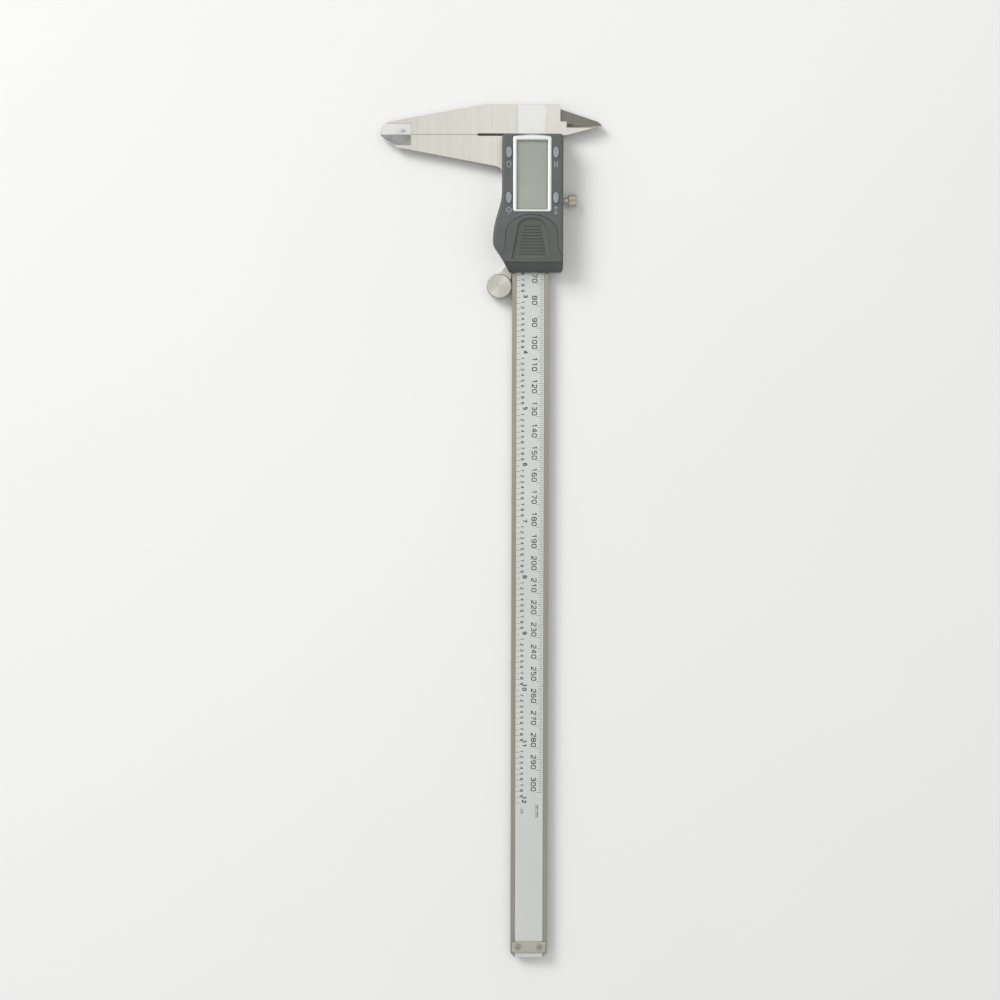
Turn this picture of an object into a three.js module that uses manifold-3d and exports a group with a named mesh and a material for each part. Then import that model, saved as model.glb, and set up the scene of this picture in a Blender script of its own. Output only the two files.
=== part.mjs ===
// A 300 mm electronic slide caliper: a steel beam with fixed jaws, and a slider with moving jaws, a display
// housing, a battery, a lock screw, a thumb roller and a depth rod.
//
// Millimetres. X runs along the beam from the measuring zero, Y across it towards the inside jaws, and Z up
// through the front face. Y and Z start in the middle of the beam. The last lines move the whole caliper so
// that its origin is under the centre of its bounding box, on the surface that its back rests on.

import * as THREE from 'three';
import { mergeVertices } from 'three/addons/utils/BufferGeometryUtils.js';
import Module from 'manifold-3d';

const wasm = await Module();
wasm.setup();

// ---- Clearances -------------------------------------------------------------------------------------

const slideGap = 0.15; // between the beam and whatever slides on it
const seatGap = 0.1; // between pieces that are screwed, glued or snapped together
const bondGap = 0.05; // glue line under the scale strip and its label
const closedGap = 0.1; // between the measuring faces when the jaws are shut
const blindGap = 0.3; // left under a screw's tip in a blind hole

// ---- How solids are made ----------------------------------------------------------------------------

const cutPast = 1; // how far a cut runs out past the surface that it opens
const joinBite = 0.2; // how far solids that are joined run into each other
const beyond = 20; // reach of a cut that takes off a whole side
const screwSides = 16;
const discSides = 24;
const ringSides = 32;
const cellSides = 40;
const curveSteps = 8;

// ---- Beam and fixed jaws ----------------------------------------------------------------------------

const measuringRange = 300;
const overtravel = 2.3; // slider travel past the measuring range
const beamWidth = 16.5;
const beamThickness = 4;
const headLength = 13.6; // fixed jaw, from its end face to the measuring zero
const tailMargin = 2.4; // beam past the end stop plate
const tailChamfer = 2;
const channelWidth = 12.7; // shallow channel that the scale lies in
const channelDepth = 0.9;
const statorThickness = 0.55;
const labelThickness = 0.2;

const outsideJawDepth = 60; // from the beam's lower edge to the jaw tips
const jawShoulder = 12.75; // where the fixed jaw starts to taper, below the beam
const jawTaperEnd = 56.3; // where the taper meets the rounded tip, below the beam
const fixedTipWidth = 5.6; // fixed jaw's width at the end of its taper
const reliefEnd = 15.75; // where the relief ends and the measuring faces start, below the beam
const reliefDepth = 0.5;
const fixedTipRound = 1.6; // how the fixed jaw's back curves in to its tip
const fixedTipFlat = 0.6;
const tipCurveRise = 0.4;
const thinTipLength = 14; // thinned end of both outside jaws
const thinTipWidth = 4.7; // how far the thinning reaches back from the measuring face
const thinTipLand = 1.2; // thickness of the thinned measuring edge

const insideZero = -4.4; // the line where the inside jaws' measuring edges meet
const insideJawReach = 24; // from the beam's upper edge to the inside jaw tips
const insideRoot = 7.9; // where the inside measuring edges start, above the beam
const headRise = 5.1; // how far the fixed jaw's head stands above the beam
const lapGap = 0.1; // half the gap between the two crossing inside jaws
const nibTipFlat = 0.3; // flat at an inside jaw's point
const nibStep = 1.6; // notch behind the fixed inside jaw's edge
const nibHeel = 0.8; // slant behind the fixed inside jaw, from its root down to the head
const nibHeelRise = 0.6;
const nibHeelOut = 0.3;
const knifeLand = 0.4; // thickness left at a knife edge
const knifeWidth = 1.2; // width of the bevel behind a knife edge

// ---- Slider -----------------------------------------------------------------------------------------

const sliderStart = 0.6;
const lowerWall = 4.3; // steel below the beam
const upperWall = 5.15; // steel above the gib strip
const webThickness = 2.25; // steel behind the beam
const bridgeThickness = 1.25; // steel strips in front of the beam, at both ends
const bridgeLength = 4.8;
const movingJawWidth = 14.2; // moving jaw, at the slider
const movingTipWidth = 5.8; // moving jaw, at its rounded tip
const movingTipStart = 52.65; // where its taper meets the rounded tip, below the beam
const movingTipPull = 1.3; // how the moving jaw's tip curves from its point to its back
const movingTipRound = 4.2;
const movingTipRise = 6.1;
const rootFillet = 3.3; // where the moving jaw's back meets the slider
const movingRootRise = 0.4; // the moving inside jaw's edge starts this much higher than the fixed one's
const nibNotchWidth = 0.8; // relief at the root of the moving inside jaw's edge
const nibNotchLength = 2.4;
const nibTipWidth = 2; // slant across the moving inside jaw's point
const nibSetBack = 1.7; // from the fixed jaw's end face to the moving inside jaw's back
const frameCornerCut = 6; // cut corner beside the thumb roller
const frameCornerRise = 3.1;

const gibThickness = 0.5;
const gibInset = 4.4; // from each end of the slider
const gibScrewRadius = 1.25;
const gibScrewInset = 11.4; // from each end of the slider
const gibScrewSink = 0.5; // how far the gib screws end inside the slider's edge
const gibSlotWidth = 0.4;
const gibSlotDepth = 0.7;
const lockScrewX = 29.7;
const lockScrewRadius = 1.4;
const lockHeadRadius = 2.75;
const lockHeadLength = 4.1;
const lockNeckLength = 2.7; // between the slider and the knurled head
const lockHeadEdge = 0.3;
const lockHeadTeeth = 24;
const lockCollarLength = 1.5; // thicker part of the neck, under the head
const lockCollarRise = 0.5;
const lockShoeLength = 1;
const knurlDepth = 0.18;

const rodWidth = 3.2;
const rodThickness = 1.4;
const rodGrooveDepth = 1.6;
const rodOverlap = 8; // length of rod behind the slider
const rodGrooveRunout = 4; // groove past the end of the rod, towards the jaws
const rodNotch = 4; // relief at the rod's tip, which keeps it out of corners
const rodPinRadius = 1;

const rollerRadius = 5.7;
const rollerEdge = 0.35;
const rollerTeeth = 48;
const rollerOffset = 6.6; // roller centre past the end of the slider
const rollerBack = 0.1; // how far it reaches behind the beam
const rollerFront = 0.6; // how far it stands in front of the beam
const rollerStubRadius = 1.6;
const rollerScrewRadius = 0.9;
const rollerScrewHead = 2.3;
const rollerHeadHeight = 0.55;
const rollerCounterbore = 1; // for the roller's screw head and spring washer
const rollerBoreDepth = 2; // screw hole in the roller, from the beam's back face
const rollerArmRadius = 4.2;
const rollerArmRoot = 3; // how far the arm runs into the slider
const rollerArmInset = 1.4; // from the slider's lower edge to the arm's
const rollerArmTurn = 66.4; // degrees from straight on to where the arm's sides meet its round end

const recessShare = 0.6; // a cross recess, as a share of its screw's head
const recessSlot = 0.2; // half of a recess's slot, as a share of its reach

// ---- Scale end stop and wipers ----------------------------------------------------------------------

const stopGap = 0.6; // left between the slider and the stop plate at full travel
const stopLength = 4.8;
const stopWidth = 15.2;
const stopThickness = 0.8;
const stopCorner = 0.5;
const stopScrewBite = 2.4; // how far the plate's screws reach into the beam
const stopScrewSpacing = 9.8;
const stopScrewRadius = 0.8;
const stopHeadRadius = 1.4;
const stopHeadHeight = 0.6;
const wiperLength = 1.6;
const wiperDepth = 0.75;

// ---- Display housing and electronics ----------------------------------------------------------------

const boardThickness = 1;
const boardMargin = 1.1; // steel rim round the circuit board
const boardLift = 0.25; // from the beam's front face to the board's pocket
const boardScrewGap = 0.6; // between the board and the screw in the frame's cut corner
const boardStepRise = 0.2;
const chipRadius = 4;
const chipHeight = 1.4;
const gasketThickness = 0.4;
const gasketWidth = 0.8;
const gasketInset = 0.2;
const housingHeight = 7.4;
const housingWall = 1.3;
const housingEdge = 1; // rounding of the housing's top edge
const housingEdgeSteps = 3;
const housingCorner = 1.6;
const housingLip = 0.3; // how far the housing stands out past the slider's sides
const housingTail = 0.6; // and past its tail end
const housingSlope = 4.3; // how far the tail end leans back over its height
const housingBulge = 4; // thumb rest on the lower side
const bulgeOnset = 35.7; // from the housing's tail end to where the thumb rest starts to swell
const bulgeEaseIn = 7;
const bulgeEaseOut = 9.7;
const bulgeFlat = 2.6; // straight stretch at its widest
const bulgeCorner = 1.4;
const bulgeInset = 10; // from its end to the housing's tail end
const bulgePocketStart = 12; // hollow inside the thumb rest, back from its end
const bulgePocketFloor = 5;

const displayMargin = 3.4; // from the slider's jaw end to the display
const displayY = 0.6;
const displayLength = 31;
const displayWidth = 13.8;
const bezelBand = 1.8;
const bezelTailBand = 1.1;
const bezelBow = 0.7; // how far the bezel's jaw end bows out
const bezelHeight = 0.5;
const bezelSkirt = 0.8;
const bezelSkirtDepth = 1.1;
const bezelCorner = 0.9;
const windowThickness = 0.7;
const panelThickness = 1.8;
const panelDepth = 1.6; // from the housing's top face to the liquid crystal panel
const zebraWidth = 1.6;
const zebraInset = 0.2; // from the edge of the panel
const zebraEndGap = 1; // from the ends of the display

const buttonLength = 5.2;
const buttonWidth = 2.7;
const buttonSpread = 10.55; // from the display's centreline
const buttonJawInset = 5.4; // from the display's ends
const buttonTailInset = 5.2;
const buttonRise = 0.5;
const buttonTravel = 0.4;
const buttonFlange = 0.35;
const buttonFlangeThickness = 0.8;
const buttonStemRadius = 0.8;
const switchHeight = 1.7;
const switchPlunger = 0.6;
const switchLength = 3.4;
const switchWidth = 2.6;

const cellRadius = 5.8;
const cellStep = 0.9; // narrower negative pole
const cellInset = 15; // from the slider's tail end
const cellY = 0.6;
const cellLift = 1; // from the circuit board to the cell
const cellHeadroom = 0.35; // between the cell and the cover
const cellGap = 0.25;
const wellWall = 1.1;
const wellGap = 0.35; // between the well and the circuit board
const contactThickness = 0.25;
const contactReach = 0.8; // where the negative contact stands, as a share of the cell's radius
const contactFoot = 3;
const contactRamp = 2;
const contactTip = 2; // how far it reaches past the cell's centre
const contactGap = 0.2; // between the cell's side and the positive contact
const contactSlotGap = 0.3; // round the positive contact, in the housing
const negativeWidth = 3.2;
const positiveWidth = 4;
const strapFoot = 2.2;
const strapDrop = 0.7; // from the deck down to the top of the positive contact
const sealOffset = 1.3; // from the cell's side
const sealTube = 0.35;
const sealProud = 0.04; // how far the ring stands out of its groove

const batteryBay = 27; // slider's length past the display
const coverLength = 25.2;
const coverArch = 8.6; // length of the cover's rounded end
const coverY = 0.4;
const coverHalfWidth = 11.7;
const coverFlareInset = 12.6; // from its tail end to where its sides start to widen
const coverFlareLength = 6;
const coverFlare = 2.4;
const coverThickness = 1.3;
const coverTongue = 0.6;
const coverLedge = 0.7; // wall between the display's room and the cover's seat
const deckThickness = 1.2;
const dishInset = 7.3; // thumb grip, from the cover's tail end: a hollow with ridges across its floor
const dishLength = 14.2;
const dishNarrow = 3.6; // half the floor's width at each end
const dishWide = 6.6;
const dishRound = 2.5; // rounding of its narrow end
const dishDepth = 0.75;
const dishSlope = 2.3; // width of the sides that rise from the floor to the rim
const dishSteps = 5;
const ridgeCount = 10;
const ridgePitch = 1.4;
const ridgeWidth = 0.6;
const ridgeHeight = 0.35;
const ridgeInset = 0.6; // from the end of the floor to the first ridge

const caseScrewRadius = 1;
const caseHeadRadius = 1.9;
const caseHeadHeight = 1.1;
const caseScrewBite = 2.4; // how far a housing screw reaches into the housing
const caseScrewInset = 2.4; // from the slider's ends
const bossRadius = 1.9;

// ---- Places worked out from those -------------------------------------------------------------------

const beamHalf = beamWidth / 2;
const front = beamThickness / 2;
const back = -front;
const sliderLength = displayMargin + displayLength + batteryBay;
const sliderEnd = sliderStart + sliderLength;
const stopStart = sliderEnd + measuringRange + overtravel + stopGap;
const stopX = stopStart + stopLength / 2;
const stopScrewYs = [-stopScrewSpacing / 2, stopScrewSpacing / 2];
const beamEnd = stopStart + stopLength + tailMargin;
const jawTip = -(beamHalf + outsideJawDepth);
const insideRootY = beamHalf + insideRoot;

const channelFloor = front - channelDepth;
const statorTop = channelFloor + bondGap + statorThickness;
const labelTop = statorTop + bondGap + labelThickness;

const wallInner = -(beamHalf + slideGap);
const gibInner = beamHalf + slideGap;
const upperInner = gibInner + gibThickness + slideGap;
const frameLow = wallInner - lowerWall;
const frameHigh = upperInner + upperWall;
const webInner = back - slideGap;
const frameBack = webInner - webThickness;
const bridgeInner = front + slideGap;
const frameFront = bridgeInner + bridgeThickness;

const boardFloor = front + boardLift;
const boardBase = boardFloor + seatGap;
const boardTop = boardBase + boardThickness;
const boardStart = sliderStart + bridgeLength;
const boardEnd = sliderEnd - bridgeLength;
const gasketBase = frameFront + seatGap;
const housingBase = gasketBase + gasketThickness + seatGap;
const housingTop = housingBase + housingHeight;
const housingStart = sliderStart + housingLip;
const housingEnd = sliderEnd + housingTail;
const housingLow = frameLow - housingLip;
const housingHigh = frameHigh + housingLip;
const bulgeStart = housingEnd - bulgeOnset;
const bulgeEnd = housingEnd - bulgeInset;
const coverBase = housingTop - coverThickness;
const coverStart = housingEnd - coverLength;
const coverFlareStart = housingEnd - coverFlareInset;
const coverFlareEnd = coverFlareStart + coverFlareLength;
const dishEnd = housingEnd - dishInset;
const dishStart = dishEnd - dishLength;
const deckTop = coverBase - seatGap;
const deckBase = deckTop - deckThickness;
const cavityTop = housingTop - housingWall;
const cavityEnd = housingEnd - housingSlope - seatGap;
const cellX = sliderEnd - cellInset;
const cellHeight = coverBase - cellHeadroom - cellLift - boardTop;
const sealRadius = cellRadius + sealOffset;
const displayX = sliderStart + displayMargin + displayLength / 2;
const panelTop = housingTop - panelDepth;
const panelBase = panelTop - panelThickness;

const gibStart = sliderStart + gibInset;
const gibEnd = sliderEnd - gibInset;
const gibScrewXs = [sliderStart + gibScrewInset, sliderEnd - gibScrewInset];
const pressY = gibInner + gibThickness + seatGap; // where the gib's screws and the lock shoe press
const rodPinX = sliderEnd - rodOverlap / 2;
const rollerX = sliderEnd + rollerOffset;
const rollerY = -(beamHalf + seatGap + rollerRadius);
const armFront = back - rollerBack - 2 * seatGap;
const wiperBase = labelTop + bondGap;
const wiperXs = [sliderStart + bridgeLength / 2, sliderEnd - bridgeLength / 2];

const buttonJawX = displayX - displayLength / 2 + buttonJawInset;
const buttonTailX = displayX + displayLength / 2 - buttonTailInset;
const buttonPlaces = {
  zero: [buttonJawX, displayY - buttonSpread],
  power: [buttonTailX, displayY - buttonSpread],
  hold: [buttonJawX, displayY + buttonSpread],
  unit: [buttonTailX, displayY + buttonSpread],
};

const caseScrews = {
  jaw_lower: [sliderStart + caseScrewInset, frameLow + lowerWall / 2],
  jaw_upper: [sliderStart + caseScrewInset, (upperInner + frameHigh) / 2],
  tail_lower: [sliderEnd - frameCornerCut - caseScrewRadius, frameLow + lowerWall / 2],
  tail_upper: [sliderEnd - caseScrewInset - joinBite, (upperInner + frameHigh) / 2],
};

// ---- Materials --------------------------------------------------------------------------------------

const finish = (color, roughness, metalness = 0) =>
  new THREE.MeshStandardMaterial({ color, roughness, metalness });

const steel = finish(0xcbc9c2, 0.34, 0.9);
const brightSteel = finish(0xd9d8d2, 0.22, 0.95);
const bronze = finish(0xb08a4e, 0.4, 0.9);
const scaleFilm = finish(0xe2e4e1, 0.5);
const circuitGreen = finish(0x2c5a3a, 0.55);
const blackPlastic = finish(0x3a3c3b, 0.55);
const coverPlastic = finish(0x40423f, 0.5);
const silverTrim = finish(0xe9eeee, 0.18, 0.6);
const clearWindow = finish(0xdfe6e2, 0.05);
const displayGrey = finish(0xa5a69c, 0.3);
const blackRubber = finish(0x202020, 0.8);
const epoxyBlack = finish(0x141414, 0.4);
const buttonGrey = finish(0x9ba3a4, 0.35, 0.3);
const cellSteel = finish(0xc9cac6, 0.25, 0.95);
const contactMetal = finish(0xd2c38a, 0.3, 0.95);
const greyFelt = finish(0x8a8a84, 0.95);

// ---- Shape helpers ----------------------------------------------------------------------------------

// A closed geometry as a solid that can be joined and cut.
function solidFrom(geometry) {
  const bare = geometry.clone();
  bare.deleteAttribute('normal');
  bare.deleteAttribute('uv');
  const merged = mergeVertices(bare, 1e-4);
  const vertProperties = merged.attributes.position.array;
  const triVerts = new Uint32Array(merged.index.array);
  return new wasm.Manifold(new wasm.Mesh({ numProp: 3, vertProperties, triVerts }));
}

function geometryFrom(solid) {
  const { numProp, vertProperties, triVerts } = solid.getMesh();
  const positions = new Float32Array((vertProperties.length / numProp) * 3);
  for (let i = 0; i < positions.length / 3; i++) {
    positions.set(vertProperties.subarray(i * numProp, i * numProp + 3), i * 3);
  }
  const geometry = new THREE.BufferGeometry();
  geometry.setAttribute('position', new THREE.BufferAttribute(positions, 3));
  geometry.setIndex(new THREE.BufferAttribute(new Uint32Array(triVerts), 1));
  const faceted = geometry.toNonIndexed();
  faceted.computeVertexNormals();
  return faceted;
}

const span = (middle, length, grow = 0) => [middle - length / 2 - grow, middle + length / 2 + grow];

function box([x0, x1], [y0, y1], [z0, z1]) {
  const geometry = new THREE.BoxGeometry(x1 - x0, y1 - y0, z1 - z0);
  return solidFrom(geometry.translate((x0 + x1) / 2, (y0 + y1) / 2, (z0 + z1) / 2));
}

function polygon(points) {
  return new THREE.Shape(points.map(([x, y]) => new THREE.Vector2(x, y)));
}

// A shape drawn in X and Y, from height z0 to z1.
function plate(shape, [z0, z1], curveSegments = curveSteps) {
  const geometry = new THREE.ExtrudeGeometry(shape, { depth: z1 - z0, bevelEnabled: false, curveSegments });
  return solidFrom(geometry.translate(0, 0, z0));
}

// A shape with straight sides drawn in X and Z, from y0 to y1.
function rail(shape, [y0, y1]) {
  const geometry = new THREE.ExtrudeGeometry(shape, { depth: y1 - y0, bevelEnabled: false });
  return solidFrom(geometry.rotateX(Math.PI / 2).translate(0, y1, 0));
}

function upright(radius, [x, y], [z0, z1], sides = discSides) {
  const geometry = new THREE.CylinderGeometry(radius, radius, z1 - z0, sides);
  return solidFrom(geometry.rotateX(Math.PI / 2).translate(x, y, (z0 + z1) / 2));
}

// A cylinder that runs along Y through the middle of the beam's thickness.
function crossways(radius, x, [y0, y1], sides = screwSides) {
  const geometry = new THREE.CylinderGeometry(radius, radius, y1 - y0, sides);
  return solidFrom(geometry.translate(x, (y0 + y1) / 2, 0));
}

function ellipse([x, y], [length, width], grow = 0) {
  const shape = new THREE.Shape();
  shape.absellipse(x, y, length / 2 + grow, width / 2 + grow, 0, 2 * Math.PI);
  return shape;
}

// A rectangle with round corners. Its first X side bows out by a curve that pulls towards bow.
function roundedRectangle([x0, x1], [y0, y1], radius, bow = 0) {
  const shape = new THREE.Shape();
  shape.moveTo(x0 + radius, y0);
  shape.lineTo(x1 - radius, y0);
  shape.absarc(x1 - radius, y0 + radius, radius, -Math.PI / 2, 0);
  shape.lineTo(x1, y1 - radius);
  shape.absarc(x1 - radius, y1 - radius, radius, 0, Math.PI / 2);
  shape.lineTo(x0 + radius, y1);
  shape.absarc(x0 + radius, y1 - radius, radius, Math.PI / 2, Math.PI);
  if (bow > 0) shape.quadraticCurveTo(x0 - 2 * bow, (y0 + y1) / 2, x0, y0 + radius);
  shape.absarc(x0 + radius, y0 + radius, radius, Math.PI, 1.5 * Math.PI);
  return shape;
}

// A disc with straight knurls and chamfered rims, standing on z = 0.
function knurledDisc(radius, teeth, height, edge) {
  const points = [];
  for (let i = 0; i < 2 * teeth; i++) {
    const angle = (Math.PI * i) / teeth;
    const r = i % 2 ? radius : radius - knurlDepth;
    points.push([r * Math.cos(angle), r * Math.sin(angle)]);
  }
  const rim = { bevelSegments: 1, bevelThickness: edge, bevelSize: edge, bevelOffset: -edge };
  const geometry = new THREE.ExtrudeGeometry(polygon(points), { ...rim, depth: height - 2 * edge });
  return geometry.translate(0, 0, edge);
}

function crossRecess(reach, zs) {
  const half = reach * recessSlot;
  return box([-reach, reach], [-half, half], zs).add(box([-half, half], [-reach, reach], zs));
}

// ---- Scene graph helpers ----------------------------------------------------------------------------

function groupAt(parent, [x, y, z] = [0, 0, 0]) {
  const group = new THREE.Group();
  group.position.set(x, y, z);
  parent.add(group);
  return group;
}

function addMesh(parent, name, geometry, material, [x, y, z] = [0, 0, 0]) {
  const mesh = new THREE.Mesh(geometry, material);
  mesh.name = name;
  mesh.position.set(x, y, z);
  parent.add(mesh);
}

function addPiece(parent, name, solid, material, place) {
  addMesh(parent, name, geometryFrom(solid), material, place);
}

// The same piece at several places, given as { name: [x, y, z] }.
function addCopies(parent, prefix, solid, material, places) {
  const geometry = geometryFrom(solid);
  for (const [name, place] of Object.entries(places)) {
    addMesh(parent, `${prefix}_${name}`, geometry, material, place);
  }
}

// ---- Beam -------------------------------------------------------------------------------------------

function beamOutline() {
  const face = -(beamHalf + reliefEnd);
  const taperEnd = -(beamHalf + jawTaperEnd);
  const shape = new THREE.Shape();
  shape.moveTo(-headLength, beamHalf);
  shape.lineTo(-headLength, -(beamHalf + jawShoulder));
  shape.lineTo(-fixedTipWidth, taperEnd);
  shape.quadraticCurveTo(-fixedTipWidth + fixedTipRound, jawTip + tipCurveRise, -fixedTipFlat, jawTip);
  shape.lineTo(0, jawTip);
  shape.lineTo(0, face);
  shape.lineTo(-reliefDepth, face);
  shape.lineTo(-reliefDepth, -beamHalf);
  shape.lineTo(beamEnd - tailChamfer, -beamHalf);
  shape.lineTo(beamEnd, -beamHalf + tailChamfer);
  shape.lineTo(beamEnd, beamHalf - tailChamfer);
  shape.lineTo(beamEnd - tailChamfer, beamHalf);
  return shape;
}

function fixedInsideJawOutline() {
  const inner = beamHalf - cutPast;
  const shoulder = beamHalf + headRise;
  const tip = beamHalf + insideJawReach;
  return polygon([
    [-headLength, inner],
    [nibHeelOut, inner],
    [nibHeelOut, shoulder + nibHeelRise],
    [0, insideRootY + nibHeel],
    [insideZero + nibTipFlat, tip],
    [insideZero, tip],
    [insideZero, insideRootY],
    [insideZero - nibStep, insideRootY],
    [insideZero - nibStep, shoulder],
    [-headLength, shoulder],
  ]);
}

// The bevel that leaves an inside jaw with a knife edge at edgeX. direction is the side that the edge's
// steel lies on, 1 or -1, and level is the signed height of the jaw's inner face.
function knifeBevel(edgeX, direction, startY) {
  const level = direction * (lapGap + knifeLand);
  const face = direction * front;
  const outward = edgeX - direction * cutPast;
  const bevel = polygon([
    [outward, level],
    [edgeX, level],
    [edgeX + direction * knifeWidth, face],
    [edgeX + direction * knifeWidth, face + direction * cutPast],
    [outward, face + direction * cutPast],
  ]);
  return rail(bevel, [startY, beamHalf + insideJawReach + cutPast]);
}

// The wedge that thins one face of a jaw tip. side is 1 for the front and -1 for the back, and direction
// is 1 for the moving jaw and -1 for the fixed one.
function tipWedge(faceX, direction, side) {
  const land = (side * thinTipLand) / 2;
  const surface = side * front;
  const wedge = polygon([
    [faceX - direction * cutPast, land],
    [faceX, land],
    [faceX + direction * thinTipWidth, surface],
    [faceX + direction * thinTipWidth, surface + side * cutPast],
    [faceX - direction * cutPast, surface + side * cutPast],
  ]);
  return rail(wedge, [jawTip - cutPast, jawTip + thinTipLength]);
}

function makeBeam(parent) {
  let beam = plate(beamOutline(), [back, front]);
  beam = beam.add(plate(fixedInsideJawOutline(), [lapGap, front]));
  beam = beam.subtract(knifeBevel(insideZero, 1, insideRootY));
  for (const side of [1, -1]) beam = beam.subtract(tipWedge(0, -1, side));

  const channelX = [-headLength - cutPast, beamEnd + cutPast];
  beam = beam.subtract(box(channelX, span(0, channelWidth), [channelFloor, front + cutPast]));
  const grooveX = [sliderEnd - rodOverlap - rodGrooveRunout, beamEnd + cutPast];
  beam = beam.subtract(box(grooveX, span(0, rodWidth, slideGap), [back - cutPast, back + rodGrooveDepth]));
  for (const y of stopScrewYs) {
    const hole = [front - stopScrewBite - seatGap, front + cutPast];
    beam = beam.subtract(upright(stopScrewRadius + seatGap, [stopX, y], hole, screwSides));
  }
  addPiece(parent, 'beam_with_fixed_jaws', beam, steel);
}

// ---- Scale strip, label and end stop ----------------------------------------------------------------

function makeScale(parent) {
  const stripX = [sliderStart, beamEnd - seatGap];
  const layers = [
    ['scale_stator', channelFloor + bondGap, statorTop, circuitGreen],
    ['scale_label', statorTop + bondGap, labelTop, scaleFilm],
  ];
  for (const [name, z0, z1, material] of layers) {
    let strip = box(stripX, span(0, channelWidth, -seatGap), [z0, z1]);
    for (const y of stopScrewYs) {
      const hole = [z0 - cutPast, z1 + cutPast];
      strip = strip.subtract(upright(stopScrewRadius + seatGap, [stopX, y], hole, screwSides));
    }
    addPiece(parent, name, strip, material);
  }
}

function makeEndStop(parent) {
  const group = groupAt(parent, [stopX, 0, front + seatGap]);
  const outline = roundedRectangle(span(0, stopLength), span(0, stopWidth), stopCorner);
  let stopPlate = plate(outline, [0, stopThickness]);
  for (const y of stopScrewYs) {
    const hole = [-cutPast, stopThickness + cutPast];
    stopPlate = stopPlate.subtract(upright(stopScrewRadius + seatGap, [0, y], hole, screwSides));
  }
  addPiece(group, 'end_stop_plate', stopPlate, steel);

  const headBase = stopThickness + seatGap;
  const headTop = headBase + stopHeadHeight;
  const tip = -seatGap - stopScrewBite;
  let screw = upright(stopScrewRadius, [0, 0], [tip, headBase + joinBite], screwSides);
  screw = screw.add(upright(stopHeadRadius, [0, 0], [headBase, headTop]));
  const recess = [headTop - stopHeadHeight * recessShare, headTop + cutPast];
  screw = screw.subtract(crossRecess(stopHeadRadius * recessShare, recess));
  const [lower, upper] = stopScrewYs;
  addCopies(group, 'end_stop_screw', screw, brightSteel, { lower: [0, lower, 0], upper: [0, upper, 0] });
}

// ---- Slider frame -----------------------------------------------------------------------------------

function movingOutsideJawOutline() {
  const face = closedGap;
  const inFrame = frameLow + cutPast;
  const shape = new THREE.Shape();
  shape.moveTo(face, jawTip);
  shape.quadraticCurveTo(
    face + movingTipPull, jawTip + tipCurveRise / 2,
    face + movingTipRound, jawTip + movingTipRise,
  );
  shape.lineTo(movingTipWidth, -(beamHalf + movingTipStart));
  shape.lineTo(movingJawWidth, frameLow - rootFillet);
  shape.quadraticCurveTo(movingJawWidth + rootFillet / 4, frameLow, movingJawWidth + rootFillet, frameLow);
  shape.lineTo(movingJawWidth + rootFillet, inFrame);
  shape.lineTo(sliderStart, inFrame);
  shape.lineTo(sliderStart, -(beamHalf + reliefEnd));
  shape.lineTo(face, -(beamHalf + reliefEnd));
  return shape;
}

function movingInsideJawOutline() {
  const edge = insideZero + closedGap;
  const root = insideRootY + movingRootRise;
  const tip = beamHalf + insideJawReach;
  const armInner = beamHalf + movingRootRise;
  return polygon([
    [sliderStart + cutPast, armInner],
    [sliderStart + cutPast, frameHigh - joinBite],
    [edge, root],
    [edge - nibNotchWidth, root],
    [edge - nibNotchWidth, root + nibNotchLength],
    [edge, root + nibNotchLength],
    [edge, tip],
    [edge - nibTipFlat, tip],
    [edge - nibTipWidth, tip - nibTipWidth],
    [-headLength + nibSetBack, beamHalf + headRise],
    [-headLength + nibSetBack, armInner],
  ]);
}

function rollerArmOutline() {
  const inFrame = sliderEnd - rollerArmRoot;
  const turn = THREE.MathUtils.degToRad(rollerArmTurn);
  const shape = new THREE.Shape();
  shape.moveTo(inFrame, wallInner);
  shape.lineTo(inFrame, frameLow + rollerArmInset);
  shape.absarc(rollerX, rollerY, rollerArmRadius, Math.PI + turn, 2 * Math.PI + turn);
  shape.lineTo(sliderEnd + joinBite, wallInner);
  return shape;
}

function frameBodyOutline(inset = 0) {
  const [start, end] = [sliderStart + inset, sliderEnd - inset];
  const [low, high] = [frameLow + inset, frameHigh - inset];
  return polygon([
    [start, low],
    [sliderEnd - frameCornerCut - inset, low],
    [end, frameLow + frameCornerRise + inset],
    [end, high],
    [start, high],
  ]);
}

// The circuit board's outline, drawn in from the pocket that it lies in. It steps back round the screw in
// the frame's cut corner.
function boardOutline(inset) {
  const low = frameLow + boardMargin + inset;
  const high = frameHigh - boardMargin - inset;
  const start = boardStart + inset;
  const end = boardEnd - inset;
  const stepX = caseScrews.tail_lower[0] - bossRadius - boardScrewGap - inset;
  const stepY = wallInner + boardStepRise + inset;
  return polygon([
    [start, low],
    [stepX, low],
    [stepX, stepY],
    [end, stepY],
    [end, high],
    [start, high],
  ]);
}

function cutScrewHoles(frame) {
  const through = [frameBack - cutPast, frameFront + cutPast];
  const pocket = [frameBack - cutPast, frameBack + caseHeadHeight + seatGap];
  for (const place of Object.values(caseScrews)) {
    frame = frame.subtract(upright(caseScrewRadius + seatGap, place, through, screwSides));
    frame = frame.subtract(upright(caseHeadRadius + seatGap, place, pocket));
  }
  const bore = [upperInner - cutPast, frameHigh + cutPast];
  for (const x of gibScrewXs) frame = frame.subtract(crossways(gibScrewRadius + seatGap, x, bore));
  frame = frame.subtract(crossways(lockScrewRadius + seatGap, lockScrewX, bore, discSides));
  const pinHole = [frameBack - cutPast, webInner + cutPast];
  return frame.subtract(upright(rodPinRadius + seatGap, [rodPinX, 0], pinHole, screwSides));
}

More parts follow.
